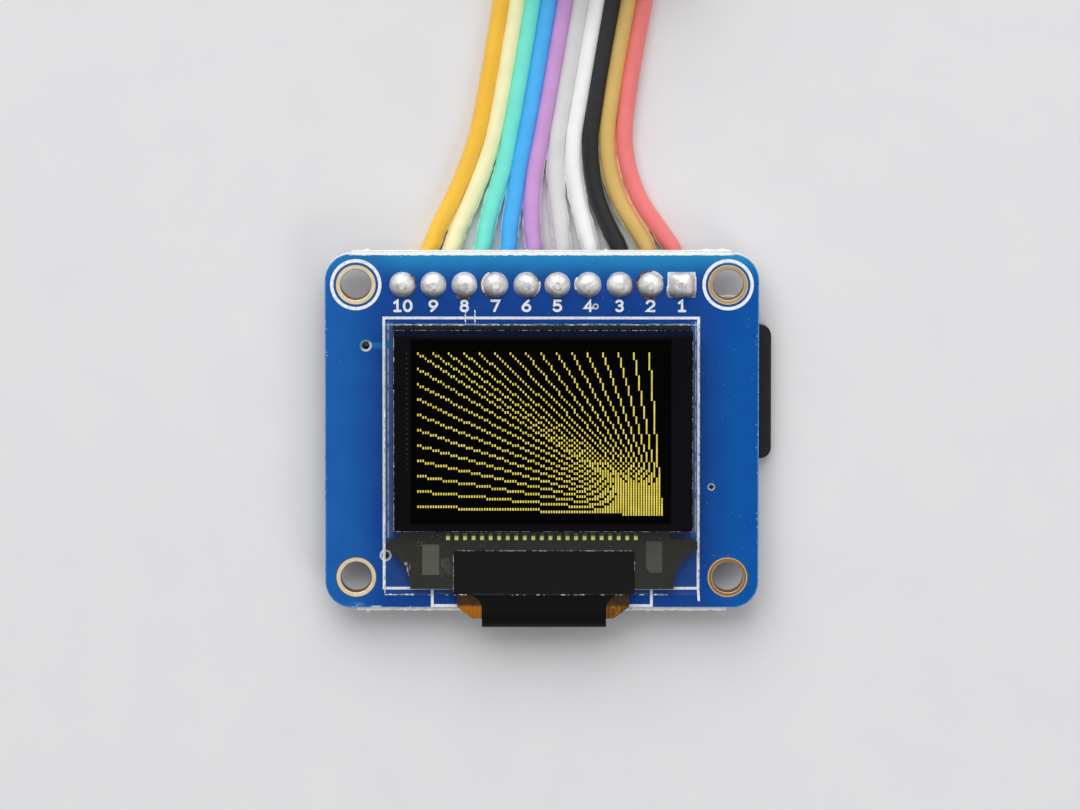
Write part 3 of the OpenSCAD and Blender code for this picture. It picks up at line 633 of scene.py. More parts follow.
# ---- Board print ----
# White epoxy ink, screened on the mask: rings round the upper holes, the outline of the
# glass, marks for the fold of its tail, and a plain number at each header hole.
ink = Finish("board_ink", 0.3, Roughness=0.55)
cover = ink.cloud(3.5, 3)
ink.tones(
    cover.ramp(0.25, 0.6), (206, 218, 234), (246, 248, 251),
    Normal=ink.relief(ink.cloud(8, 3), 0.02),
)
ink_t = 0.025
ROUND = [(0.3 + 0.3 * px, 0.5 + 0.5 * py) for px, py in arc(0, 0, 1, 0, 345, 23)]
DIGITS = {
    "0": [ROUND + ROUND[:1]],
    "1": [[(0.1, 0.78), (0.34, 1), (0.34, 0)], [(0.1, 0), (0.58, 0)]],
    "2": [arc(0.3, 0.7, 0.3, 165, -35, 8) + [(0, 0), (0.6, 0)]],
    "3": [arc(0.28, 0.75, 0.25, 150, -90, 9), arc(0.28, 0.26, 0.27, 90, -150, 9)],
    "4": [[(0.44, 0), (0.44, 1), (0, 0.3), (0.62, 0.3)]],
    "5": [[(0.54, 1), (0.08, 1), (0.05, 0.56)] + arc(0.28, 0.32, 0.31, 125, -150, 10)],
    "6": [[(0.46, 1), (0.16, 0.66)] + arc(0.3, 0.31, 0.3, 160, 500, 16)],
    "7": [[(0, 1), (0.6, 1), (0.22, 0)]],
    "8": [arc(0.3, 0.76, 0.23, -90, 262, 14), arc(0.3, 0.27, 0.28, 90, 442, 16)],
    "9": [[(0.14, 0), (0.44, 0.34)] + arc(0.3, 0.69, 0.3, -20, 320, 16)],
}


def number(shape, text, cx, cy, height, pen, low, high, flip=1):
    """Plain figures drawn with one round pen, centred on a point."""
    wide, gap = 1.2 * height, 0.32 * height
    pitch = 0.6 * wide + gap
    left = cx - flip * (len(text) * pitch - gap) / 2
    for k, figure in enumerate(text):
        for line in DIGITS[figure]:
            dots = [(left + flip * (k * pitch + u * wide), cy + (v - 0.5) * height) for u, v in line]
            shape.stroke(dots, pen, low, high)


front = Shape()
ring_r = 1.97
for side in (-1, 1):
    front.ring(side * hole_dx / 2, hole_dy / 2, ring_r, 0.27, 0, ink_t, 48)
left_x, right_x, top_y, low_y = -12.95, 12.83, 9.33, -12.98
front.stroke([(left_x, low_y), (right_x, low_y), (right_x, top_y), (left_x, top_y)],
             0.22, 0, ink_t, True)
front.stroke([(right_x, low_y), (right_x + 0.06, -13.95)], 0.2, 0, ink_t)
fold_y = -14.42
for mark_x, inner_x in ((-9, -6.97), (9, 7.27)):
    front.stroke([(mark_x, low_y), (mark_x, fold_y), (inner_x, fold_y)], 0.23, 0, ink_t)
for i in range(pins):
    number(front, str(pins - i), pin_x(i), 10.33, 0.84, 0.2, 0, ink_t)
for dash_x in (-6.28, -5.5):
    for dash_y in (9.95, 9.6, 9.2, 8.82):
        front.stroke([(dash_x, dash_y), (dash_x + 0.03, dash_y - 0.2)], 0.09, 0, ink_t)
front.piece("print_front", ink, "solder_mask")


def solids_of(node):
    """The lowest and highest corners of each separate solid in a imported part."""
    welded = bmesh.new()
    welded.from_mesh(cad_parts[node].data)
    bmesh.ops.remove_doubles(welded, verts=welded.verts, dist=1e-7)
    left = set(welded.verts)
    boxes = []
    while left:
        patch = [left.pop()]
        for vert in patch:
            fresh = {edge.other_vert(vert) for edge in vert.link_edges} & left
            left -= fresh
            patch += fresh
        spans = [[vert.co[axis] / MM for vert in patch] for axis in range(3)]
        boxes.append((Vector([min(s) for s in spans]), Vector([max(s) for s in spans])))
    welded.free()
    return sorted(boxes, key=lambda box: tuple(box[0]))


rear_ink = (back_z - ink_t, back_z)


def side_lines(shape, lo, hi, gap, along_y):
    """Two printed lines beside a part, clear of its soldered ends."""
    for end in (-1, 1):
        if along_y:
            px = (lo.x + hi.x) / 2 + end * ((hi.x - lo.x) / 2 + gap)
            line = [(px, lo.y), (px, hi.y)]
        else:
            py = (lo.y + hi.y) / 2 + end * ((hi.y - lo.y) / 2 + gap)
            line = [(lo.x, py), (hi.x, py)]
        shape.stroke(line, 0.15, *rear_ink)


rear = Shape()
for node in ("level_shifter", "regulator", "boost_converter", "inductor_shield", "diode"):
    side_lines(rear, *solids_of(node)[0], 0.28, False)
for node in ("capacitors", "resistors"):
    for lo, hi in solids_of(node):
        side_lines(rear, lo, hi, 0.3, hi.y - lo.y > hi.x - lo.x)
for px, py in ((-6.2, 7.5), (-8.7, -6.65), (-14.5, 2.75)):
    rear.ring(px, py, 0.09, 0.2, *rear_ink, corners=12)
for i in range(pins):
    number(rear, str(pins - i), pin_x(i), 13.8, 0.85, 0.16, *rear_ink, flip=-1)
for side in (-1, 1):
    rear.ring(side * hole_dx / 2, hole_dy / 2, ring_r, 0.2, *rear_ink, corners=48)
for line in (
    [(2.5, 9.9), (2.5, 11.0), (17.2, 11.0)],
    [(2.5, -3.6), (2.5, -5.0), (17.2, -5.0)],
    [(-5.4, -9.7), (-5.4, -9.3), (5.6, -9.3), (5.6, -9.7)],
):
    rear.stroke(line, 0.15, *rear_ink)
rear.piece("print_rear", ink, "solder_mask")


# ---- Copper under the mask ----
# Etched tracks stand a little proud under the mask. One shows in front, from a via to the
# glass. Behind, they run between the parts and to covered vias. The lands of the mounting
# holes are gold plated, and those of the open vias are tinned.
track = Finish("masked_track", 0.25, Roughness=0.34)
ripple = track.cloud(0.8, 3)
track.tones(ripple, (18, 98, 168), (28, 114, 182), Normal=track.relief(ripple, 0.01))
track_t = 0.012
track_via = (-14.43, 7.06)
corner_via = (-12.82, -10.25)
seen = Shape()
seen.stroke([(-13.85, track_via[1]), (-12.2, track_via[1])], 0.46, 0, track_t)
seen.piece("track_front", track, "solder_mask")

buried = Shape()
routes = (
    [(-6.4, 6.9), (-6.4, 8.6), (-6.35, 11.1)],
    [(-0.4, 6.9), (-0.4, 8.2), (-1.27, 9.1), (-1.27, 11.1)],
    [(0.1, 6.22), (0.75, 6.22), (1.27, 6.8), (1.27, 11.1)],
    [(-5.9, 6.22), (-5.1, 7.5), (-3.81, 8.8), (-3.81, 11.1)],
    [(0.1, 4.92), (1.7, 4.92)],
    [(0.1, 3.62), (0.6, 3.62), (0.9, 3.9), (1.7, 3.9)],
    [(0.1, 2.97), (1.7, 2.8)],
    [(0.1, 2.32), (0.7, 2.32), (1.3, 1.7), (1.7, 1.7)],
    [(-6.9, 2.32), (-7.5, 2.32), (-8.1, 1.7)],
    [(-6.9, 4.27), (-7.6, 4.27), (-8.2, 3.7)],
    [(-6.9, 5.57), (-7.9, 5.57), (-8.8, 6.0)],
    [(-9.2, 7.9), (-9.2, 9.6), (-8.89, 10), (-8.89, 11.1)],
    [(-8.7, -0.4), (-8.7, -1.6)],
    [(-8.7, -2.2), (-8.7, -3.9)],
    [(-5.9, -4.05), (-3.8, -4.4)],
    [(-3.7, -5.9), (-3.7, -7.4), (-2.9, -8.2), (-2.9, -10.3)],
    [(-2.4, -0.3), (-1.4, -0.3), (0.7, 1.8)],
    [(-2.4, -1.9), (-0.9, -1.9), (0.5, -2.2)],
    [(1.8, -7.3), (0.7, -8.4), (0.7, -10.3)],
    [(5.4, -7.3), (4.4, -8.4), (3.1, -8.9), (3.1, -10.3)],
    [(-0.5, -10.3), (-0.5, -8.0), (-1.7, -6.8), (-1.7, -3.6)],
    [(-1.7, -10.3), (-1.7, -8.6), (-2.6, -7.7), (-2.6, -3.3)],
    [(-14.2, 4.4), (-15.6, 4.4), (-16.3, 3.7), (-16.3, -6)],
    [(-14.4, 3.4), (-15.2, 2.6), (-15.2, -0.6)],
    [(7.0, -7.2), (9, -7.2), (10.4, -8.6), (10.4, -11.4)],
    [(6.35, 11.1), (6.35, 10.85)],
)
for route in routes:
    buried.stroke(route, 0.28, back_z - track_t, back_z)
covered_vias = (
    (-1.7, -3.4), (-2.6, -3.1), (10.4, -11.5), (-16.3, -6.2), (0.7, 1.9), (-1.5, -1.2),
    (3.1, -5.9), (8.4, -10.2), (12.6, -7.6), (14.8, -9.8), (-7.4, -8.2), (-5.9, -1.4),
    (-6.6, 0.6), (-11.2, 8.9), (-12.6, 10.3), (-11.8, 1.6),
)
for vx, vy in covered_vias:
    buried.ring(vx, vy, 0.15, 0.3, back_z - track_t - 0.006, back_z, corners=12)
buried.piece("tracks_rear", track, "solder_mask")

plating = Finish("hole_plating", Metallic=0.35)
x, y, _ = plating.spot()
radius = from_hole(x, y)
grime = plating.cloud(1.5, 4)
hole_r = 1.25
# On the right-hand lands the ring is brown between its rims and left pale along the inner and outer
# rims as painted highlights.
between_rims = radius.ramp(hole_r + 0.03, hole_r + 0.09) * radius.ramp(land_r - 0.03, land_r - 0.1)
clean_land = plating.blend(grime.ramp(0.3, 0.7), paint(230, 214, 172), paint(240, 228, 194))
dull_land = plating.blend(between_rims, paint(232, 218, 186), paint(158, 114, 54))
land = plating.blend(x.ramp(-2, 2) * (1 - y.ramp(-2, 2) * 0.35), clean_land, dull_land)
# Painted shade: the walls of the holes are painted dark brown.
shaded_barrel = plating.blend(grime, paint(112, 66, 14), paint(150, 98, 30))
plating.put({
    "Base Color": plating.blend(abs(plating.upness()).ramp(0.9, 0.6), land, shaded_barrel),
    "Roughness": 0.28 + grime * 0.2,
    "Normal": plating.relief(plating.cloud(6, 4), 0.015),
})
dress(plating, "mounting_hole_lands")

vias = Shape()
via_t = 0.02
for vx, vy, hole_d, land_d in ((*track_via, 0.5, 1.0), (*corner_via, 0.5, 1.0),
                               (4.4, 10.28, 0.3, 0.5), (13.9, -4.6, 0.5, 0.6)):
    for low, high in ((0, via_t), (back_z - via_t, back_z)):
        vias.ring(vx, vy, (hole_d + land_d) / 4, (land_d - hole_d) / 2, low, high)
    vias.ring(vx, vy, hole_d / 2 - 0.02, 0.03, back_z, 0)
via_tin = Finish("via_tin", Metallic=0.5)
x, y, _ = via_tin.spot()
lit_side = (x - track_via[0]) * 0.8 - (y - track_via[1]) + via_tin.cloud(2, 3) * 0.4
ring_tone = via_tin.blend(lit_side.ramp(0, 0.4), paint(96, 150, 160), paint(214, 222, 228))
# Painted shade: each open via is painted near black around and inside its hole.
for vx, vy in (track_via, corner_via):
    hole_shade = distance(x - vx, y - vy).ramp(0.33, 0.29)
    ring_tone = via_tin.blend(hole_shade, ring_tone, paint(12, 16, 20))
via_tin.put({
    "Base Color": ring_tone,
    "Roughness": 0.3 + via_tin.cloud(3, 3) * 0.2,
    "Normal": via_tin.relief(via_tin.cloud(9, 3), 0.01),
})
vias.piece("via_rings", via_tin, "solder_mask")


# ---- Header joints ----
# Each wire's tinned end comes up through its plated hole and is soldered by hand: a
# bright dome with a sunken dimple below the tip, and a cone on the back.
solder = Finish("solder", Metallic=0.75)
dull = solder.cloud(1.1, 4)
grainy = solder.cloud(9, 4)
_, y, _ = solder.spot()
# Painted shade: the lower side of each dome is painted darker.
dome_lower_shade = y.ramp(pin_y - 0.25, pin_y - 1.0) * y.ramp(pin_y - 1.3, pin_y - 1.2) * (0.5 + dull * 0.6)
bright = solder.blend(dull.ramp(0.3, 0.75), paint(226, 224, 220), paint(252, 251, 248))
solder.put({
    "Base Color": solder.blend(dome_lower_shade, bright, paint(104, 102, 102)),
    "Roughness": 0.4 + dull * 0.14 + grainy * 0.12,
    "Normal": solder.relief(grainy + solder.cloud(3, 2), 0.06),
})
dress(solder, "flex_solder", "header_lands")
land_top = 0.04
dome_r, dome_h = 1.03, 0.84
joint_turns = [math.radians(7.5 * k) for k in range(48)]


def dome(shape, i):
    """The front of one hand-made joint: no two have the same lean, dimple or wrinkles."""
    cx, square = pin_x(i), i == pins - 1
    lean = Vector((random.uniform(-0.06, 0.06), random.uniform(-0.02, 0.1)))
    dimple = Vector((random.uniform(-0.1, 0.14), random.uniform(-0.3, -0.24)))

    def outline(a):
        if square:
            return 1.05 / max(abs(math.cos(a)) ** 5 + abs(math.sin(a)) ** 5, 0.1) ** 0.2
        return dome_r * (1 + 0.035 * rough(math.cos(a) * 2, math.sin(a) * 2, 1, i))

    def height(u, px, py):
        crown = (1 - u ** 2.3) ** 0.62
        toe = 0.1 * math.exp(-((1 - u) / 0.09) ** 2)
        nub = 0.17 * math.exp(-(px * px + py * py) / 0.035)
        hollow = 0.17 * math.exp(-((px - dimple.x) ** 2 * 0.5 + (py - dimple.y) ** 2) / 0.014)
        wrinkle = (0.05 * rough(px, py, 0.5, 10 + i) + 0.02 * rough(px, py, 0.2, i)) * (1 - u ** 4)
        return land_top + (dome_h - 0.1) * crown - toe * crown + nub - hollow * crown + wrinkle

    rings = []
    for radius in (0.35, 0.7):
        rings.append([(cx + radius * math.cos(a), pin_y + radius * math.sin(a), land_top)
                      for a in joint_turns])
    for u in (1, 0.985, 0.96, 0.92, 0.86, 0.79, 0.71, 0.62, 0.53, 0.44, 0.35, 0.27, 0.19, 0.11,
              0.04):
        ring = []
        for a in joint_turns:
            px, py = math.cos(a) * outline(a) * u, math.sin(a) * outline(a) * u
            shift = lean * (1 - u * u)
            ring.append((cx + px + shift.x, pin_y + py + shift.y, height(u, px, py)))
        rings.append(ring)
    shape.loft(rings)


def cone(shape, i):
    """The back of one joint: a concave cone that closes round the wire."""
    rings = []
    for r, drop in ((0.31, 0.52), (0.44, 0.38), (0.6, 0.2), (0.8, 0.09), (0.97, land_top),
                    (0.45, land_top)):
        ring = []
        h = back_z - drop
        for a in joint_turns:
            uneven = r * (1 + 0.05 * rough(math.cos(a) * 2, math.sin(a) * 2 + h, 1, 30 + i))
            ring.append((pin_x(i) + uneven * math.cos(a), pin_y + uneven * math.sin(a), h))
        rings.append(ring)
    shape.loft(rings)


random.seed(11)
joints = Shape()
for i in range(pins):
    dome(joints, i)
    cone(joints, i)

# Here and there the solder has run to the edge of its land.
for i, start, end in ((3, 120, 215), (4, -60, 10), (8, 30, 80), (6, 150, 200), (9, 200, 250)):
    joints.stroke(arc(pin_x(i), pin_y, 1.1, start, end, 8), 0.14, 0, 0.07)
for side, start, end in ((1, -0.55, 0.6), (-1, -0.9, -0.2)):
    px = pin_x(pins - 1) + side * 1.14
    joints.stroke([(px, pin_y + start), (px, pin_y + end)], 0.16, 0, 0.09)
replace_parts(joints.piece("solder_joints", solder, "solder", True), "header_solder")

rosin = Finish("flux_residue", Roughness=0.3)
burnt = rosin.cloud(2.4, 4)
rosin.tones(
    burnt.ramp(0.35, 0.65), (62, 40, 20), (160, 116, 66),
    Alpha=burnt.ramp(0.3, 0.5) * 0.7,
    Normal=rosin.relief(burnt, 0.03),
)
flux = Shape()
for i, start, end, r, width in (
    (0, -60, 45, 1.08, 0.16), (3, 150, 262, 1.12, 0.24), (4, -50, 50, 1.08, 0.16),
    (2, 235, 300, 1.14, 0.16), (7, -45, 30, 1.06, 0.16), (8, 95, 200, 1.08, 0.22),
    (8, 230, 290, 1.14, 0.22), (5, 100, 140, 1.06, 0.12),
):
    flux.stroke(arc(pin_x(i), pin_y, r, start, end, 10), width, 0, 0.05)
flux.piece("flux_residue", rosin, "solder")


# ---- Display panel ----
# Two sheets of thin glass with the light layer sealed between them, stuck to the board
# with foam tape. The front sheet carries a dark polarizer and ends in a bare ledge.
glass_lo, glass_hi = (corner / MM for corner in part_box("panel_glass"))
film_lo, film_hi = (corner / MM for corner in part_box("polarizer"))

glass = Finish("panel_glass")
glass.tree.nodes.remove(glass.shader)
x, y, _ = glass.spot()
middle_y = (glass_lo.y + glass_hi.y) / 2
sides = (abs(x) - glass_hi.x).ramp(-0.13, -0.05)
ends = (abs(y - middle_y) - (glass_hi.y - middle_y)).ramp(-0.13, -0.05) * y.ramp(-14, 6)
near_cut = y.ramp(-13.2, -13.3) * 0.25
edges = (sides * 1.6).at_least(ends + near_cut) * glass.cloud(1.3, 4).ramp(0.38, 0.6)
see = glass.node("ShaderNodeBsdfTransparent", {}, {"Color": (0.96, 0.975, 0.97)})
gloss = {"Color": (1, 1, 1), "Roughness": 0.04 + edges * 0.5}
mirror = glass.node("ShaderNodeBsdfGlossy", {}, gloss)
grazing = glass.node("ShaderNodeLayerWeight", {}, {"Blend": 0.5}, "Facing")
edge_on = 0.04 + 0.96 * grazing ** 5
surface = glass.node("ShaderNodeMixShader", {}, {0: edge_on * 0.4 + edges * 0.2, 1: see, 2: mirror})
glass.tree.links.new(surface.socket, glass.tree.nodes["Material Output"].inputs["Surface"])
dress(glass, "panel_glass")

seal = Finish("cap_glass", 0.4)
streak = seal.cloud(1.5, 3)
seal.tones(streak, (18, 26, 28), (30, 42, 42), Roughness=0.12 + streak * 0.1)
dress(seal, "cap_glass")

foam = Finish("foam_tape", 0.2, Roughness=0.8)
cells = foam.dots(5)
foam.tones(cells, (190, 192, 188), (222, 222, 216), Normal=foam.relief(cells, 0.05))
dress(foam, "adhesive_pad")

film = Finish("polarizer_film", 0.05)
x, y, _ = film.spot()
inner = abs(x + 0.085).ramp(10.75, 10.6) * abs(y - 0.155).ramp(7.68, 7.55)
haze = film.cloud(0.25, 3)
film.put({
    "Base Color": film.coats(
        paint(11, 11, 13),
        (haze, paint(17, 17, 20)),
        (y.ramp(7.9, 8.05), paint(16, 21, 42)),
        (inner, paint(1, 1, 2)),
    ),
    "Roughness": 0.12 + haze * 0.1,
    "Normal": film.relief(film.cloud(0.8, 3), 0.006),
})
dress(film, "polarizer")

layer = Finish("pixel_layer", Roughness=0.3)
stripes = (layer.spot()[0] * 90).wave()
layer.put({"Base Color": layer.blend(stripes, paint(6, 6, 8), paint(14, 14, 18))})
dress(layer, "pixel_matrix")

pads = Finish("contact_metal", 0.3, Roughness=0.4)
x, y, _ = pads.spot()
bars = solids_of("panel_contacts")
first_bar = (bars[0][0].x + bars[0][1].x) / 2
turn = 2 * math.pi / (bars[1][0].x - bars[0][0].x)
crest = (x * turn + math.pi / 2 - first_bar * turn).wave()
# Painted light: each bar is painted dim as painted shade, with a painted highlight in a bright band
# near its lower end.
pads.put({
    "Base Color": pads.coats(
        paint(44, 42, 34),
        (crest.ramp(-0.5, 0.3) * pads.cloud(3, 3).ramp(0.3, 0.6), paint(112, 102, 82)),
        (y.ramp(-8.5, -8.62) * y.ramp(-8.93, -8.84) * crest.ramp(0, 0.5), paint(255, 252, 150)),
    ),
})
dress(pads, "panel_contacts")


INWARD = {"left": (1, 0), "right": (-1, 0), "near": (0, 1), "far": (0, -1)}


def chipped(shape, lo, hi, *cuts):
    """Tiny flakes along the sides of a cut plate, as slivers that lie on its top face. A cut
    gives its side, where it runs from and to, how much of it is flaked, and how deep."""
    for side, first, last, share, depth in cuts:
        inward = Vector(INWARD[side])
        if inward.x:
            edge = lo.x if inward.x > 0 else hi.x
            start, end = Vector((edge, first)), Vector((edge, last))
        else:
            edge = lo.y if inward.y > 0 else hi.y
            start, end = Vector((first, edge)), Vector((last, edge))
        along = (end - start).normalized()
        gone = 0.0
        while gone < (end - start).length - depth:
            size = depth * random.uniform(0.35, 1.0)
            if random.random() < share * (1 + 1.4 * rough(gone, start.x + start.y, 1.3, 3)):
                near = start + along * gone
                far = near + along * size * random.uniform(1.5, 4)
                reach = [inward * size * random.uniform(0.2, 0.6) for _ in range(2)]
                flake = [near, far, far - along * size * 0.5 + reach[0],
                         near + along * size * 0.4 + reach[1]]
                if along.cross(inward) < 0:
                    flake.reverse()
                shape.slab(flake, hi.z - 0.01, hi.z + 0.006 + 0.004 * random.random())
            gone += size * 1.6


ground = Finish("ground_glass", 0.4, Roughness=0.6)
ground.tones(ground.cloud(3, 4).ramp(0.35, 0.65), (96, 112, 128), (236, 242, 242))
random.seed(21)
ground_edge = Shape()
chipped(
    ground_edge, glass_lo, glass_hi,
    ("left", glass_lo.y, glass_hi.y, 0.55, 0.16),
    ("right", glass_lo.y, glass_hi.y, 0.6, 0.16),
    ("far", glass_lo.x, glass_hi.x, 0.6, 0.14),
    ("far", -10.7, -9, 1, 0.2),
    ("far", -8.2, -6.6, 1, 0.2),
    ("near", glass_lo.x, -10.4, 0.8, 0.22),
    ("near", 8, 10.2, 0.7, 0.22),
    ("near", -10.4, 8, 0.2, 0.14),
)
ground_edge.piece("ground_edge", ground, "panel_glass")

fray = Finish("film_edge", 0.4, Roughness=0.5)
fray.tones(fray.cloud(2, 3).ramp(0.35, 0.7), (78, 80, 90), (196, 200, 208))
film_cut = Shape()
chipped(
    film_cut, film_lo, film_hi,
    ("left", film_lo.y, film_hi.y, 1, 0.13),
    ("right", film_lo.y, film_hi.y, 0.4, 0.1),
    ("far", film_lo.x, film_hi.x, 0.55, 0.1),
    ("near", film_lo.x, film_hi.x, 0.5, 0.07),
)
# A thread of film curls off the left side.
film_cut.stroke([(-12.73, 4.05), (-12.6, 4.02), (-12.42, 3.92), (-12.26, 3.86)], 0.04,
                glass_hi.z - 0.01, glass_hi.z + 0.02)
film_cut.piece("film_cut", fray, "polarizer_film")

# A row of faint ticks runs down beside the dots.
tick_tone = Finish("edge_mark_tone", 0.1, Roughness=0.6)
tick_tone.tones(tick_tone.cloud(0.5, 2), (50, 50, 54), (110, 110, 118))
ticks = Shape()
tick_pitch = 0.414
for k in range(24):
    ticks.block(-11.09, -11.03, 6.56 - tick_pitch * k, 6.63 - tick_pitch * k,
                film_hi.z - 0.01, film_hi.z + 0.003)
ticks.piece("edge_marks", tick_tone, "pixel_layer")


# ---- Lit dots ----
# An organic film laid down as 96 by 64 dots, which current lights in yellow. A fan of
# lines runs from the lower right corner to every sixth dot of the top row and left column.
columns, rows, dot_pitch = 96, 64, 0.2102
first_x, first_y = -10.14, 6.58
dot_w, dot_h, dot_t = 0.118, 0.195, 0.006


def dot_line(x0, y0, x1, y1):
    """The dots that a drawing chip lights between two others, in whole steps."""
    steep = abs(y1 - y0) > abs(x1 - x0)
    if steep:
        x0, y0, x1, y1 = y0, x0, y1, x1
    if x0 > x1:
        x0, y0, x1, y1 = x1, y1, x0, y0
    dx, dy, row = x1 - x0, abs(y1 - y0), y0
    error = dx // 2
    lit = []
    for column in range(x0, x1 + 1):
        lit.append((row, column) if steep else (column, row))
        error -= dy
        if error < 0:
            row += 1 if y1 > y0 else -1
            error += dx
    return lit


light = Finish("pixel_light", 0.1, Roughness=0.5)
flicker = light.cloud(1.2, 2)
glow = light.blend(flicker.ramp(0.3, 0.7), paint(222, 202, 68), paint(243, 227, 104))
light.put({"Base Color": paint(30, 28, 10), "Emission Color": glow, "Emission Strength": 1.0})

lit = set()
for column in range(0, columns, 6):
    lit.update(dot_line(columns - 1, rows - 1, column, 0))
for row in range(0, rows, 6):
    lit.update(dot_line(columns - 1, rows - 1, 0, row))
lit_dots = Shape()
for column, row in sorted(lit):
    px, py = first_x + column * dot_pitch, first_y - row * dot_pitch
    lit_dots.block(px - dot_w / 2, px + dot_w / 2, py - dot_h / 2, py + dot_h / 2,
                   film_hi.z, film_hi.z + dot_t)
lit_dots.piece("lit_pixels", light, "pixel_layer")


# ---- Tail of the panel ----
# Amber polyimide film with etched copper, bonded behind the ledge of the glass, wrapped
# round the edge of the board and soldered on its back. Black tape runs along it.
tape_lo, tape_hi = (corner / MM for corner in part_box("flex_tape"))
tape_z = tape_hi.z
amber = Finish("amber_film", 0.25)
x, y, z = amber.spot()
etched = ((x * 18).wave() * 0.5 + 0.5).ramp(0.35, 0.65)
fleck = amber.cloud(1.2, 3)
# Painted shade: the upper part of the open tail, towards the glass, is painted dark brown.
tail_top_shade = y.ramp(-14.5, -14.2) * z.ramp(-0.3, 0) * (0.6 + amber.cloud(3, 4) * 0.8)
open_film = amber.coats(
    paint(160, 94, 8),
    (x.ramp(-2, 2), paint(100, 58, 6)),
    (fleck.ramp(0.55, 0.8), paint(200, 134, 30)),
    (etched * 0.1, paint(214, 150, 50)),
    (tail_top_shade, paint(58, 38, 16)),
)

# Under the glass it looks nearly black, with two bare patches, hatching and scratches.
scratch = amber.cloud(6, 2, (1, 0.15, 1)).ramp(0.68, 0.74) * x.ramp(-6, -11)
left_patch = abs(x + 9.12).ramp(0.72, 0.68) * abs(y + 10.52).ramp(1.28, 1.24)
chamfer = (x + y + 3.1).ramp(0.4, 0.45)
right_patch = abs(x - 9.21).ramp(0.68, 0.64) * abs(y + 10.3).ramp(1.3, 1.26) * chamfer
slanted = ((x - y) * 40).wave().ramp(-0.5, 1) * amber.cloud(3, 3).ramp(0.35, 0.6)
hatch = abs(x + 7.9).ramp(0.5, 0.3) * abs(y + 11.2).ramp(1.0, 0.6) * slanted
streaks = amber.cloud(9, 2, (1, 0.2, 1)).ramp(0.56, 0.62)
score = abs(x + 11.28 + y * 0.02).ramp(0.26, 0.22) * abs(y + 11.3).ramp(0.62, 0.55) * streaks
bonded = amber.coats(
    paint(30, 28, 23),
    (amber.cloud(2.2, 4), paint(48, 45, 36)),
    (scratch * 0.4, paint(130, 124, 112)),
    (left_patch, amber.blend(fleck, paint(84, 79, 68), paint(106, 101, 92))),
    (right_patch, amber.blend(fleck, paint(70, 68, 65), paint(88, 86, 84))),
    (hatch, paint(98, 92, 80)),
    (score, paint(190, 188, 180)),
)
under_glass = y.ramp(-13.5, -13.3) * z.ramp(0, 0.3)
amber.put({
    "Base Color": amber.blend(under_glass, open_film, bonded),
    "Roughness": 0.32 + amber.cloud(2, 3) * 0.2,
    "Normal": amber.relief(etched, 0.012),
})
dress(amber, "flex_tail")

# A dark bead of resin closes the gap between the sealing glass and the tail.
resin = Shape()
resin.slab([
    (-12.8, -9.72), (-12.35, -9.8), (-11.9, -10.2), (-11.6, -10.7), (11.1, -10.7), (11.5, -10.35),
    (12.1, -9.95), (12.76, -9.7), (12.76, -8.98), (10.6, -8.95), (10.5, -8.1), (-11.6, -8.1),
    (-11.75, -8.95), (-12.8, -9.05),
], tape_z - 0.15, tape_z - 0.072)
resin.piece("tail_resin", amber, "amber_film")
scratches = Shape()
random.seed(31)
for count, left, right, near, far in (
    (18, -10.3, -8.3, -9.5, -8.5), (8, -8.3, -7.5, -11.9, -10.6),
    (6, 8.2, 10.4, -9.1, -8.5), (6, -7, 7, -9.6, -9.0),
):
    for _ in range(count):
        px, py = random.uniform(left, right), random.uniform(near, far)
        way, size = random.uniform(0.2, 1.3), random.uniform(0.03, 0.12)
        scratches.stroke([(px, py), (px + size * math.cos(way), py + size * math.sin(way))],
                         0.016, tape_z - 0.08, tape_z - 0.068)
scratches.piece("resin_scratches", fray, "amber_film")

tape = Finish("black_tape", 0.08)
crease = tape.cloud(0.8, 4)
tape.tones(
    crease, (11, 11, 11), (17, 17, 17),
    Roughness=0.5 + crease * 0.1,
    Normal=tape.relief(crease, 0.01),
)
dress(tape, "flex_tape")

tape_cut = Shape()
chipped(
    tape_cut, tape_lo, tape_hi,
    ("far", tape_lo.x + 0.3, tape_hi.x - 0.3, 0.75, 0.1),
    ("left", -13.3, tape_hi.y - 0.3, 0.7, 0.1),
    ("right", -11.4, -10.7, 0.9, 0.1),
)
tape_cut.piece("tape_cut", ground, "black_tape")

die = Finish("silicon", Metallic=0.6, Roughness=0.25)
die.tones(die.cloud(2, 2), (50, 52, 60), (84, 86, 96))
dress(die, "driver_chip")


# ---- Card socket and card ----
# A stamped steel cover over a black moulded tray with gold plated springs, soldered to the
# back of the board. The memory card is a black moulding that slides in between.
steel = Finish("stamped_steel", Metallic=1.0)
roll = steel.cloud(6, 4, (0.08, 1, 1))
smudge = steel.cloud(0.4, 3)
steel.tones(
    smudge, (186, 188, 190), (212, 213, 214),
    Roughness=0.24 + roll * 0.16 + smudge * 0.08,
    Normal=steel.relief(roll, 0.012),
)
dress(steel, "socket_shell")

gold = Finish("gold_plate", Metallic=0.8)
wear = gold.cloud(1.4, 4)
stain = gold.cloud(0.9, 3).ramp(0.55, 0.75)
bright_gold = gold.blend(wear, paint(226, 196, 124), paint(246, 228, 170))
gold.put({
    "Base Color": gold.blend(stain * 0.5, bright_gold, paint(176, 126, 66)),
    "Roughness": 0.24 + wear * 0.18,
    "Normal": gold.relief(gold.cloud(7, 4), 0.012),
})
dress(gold, "socket_springs", "card_contacts")


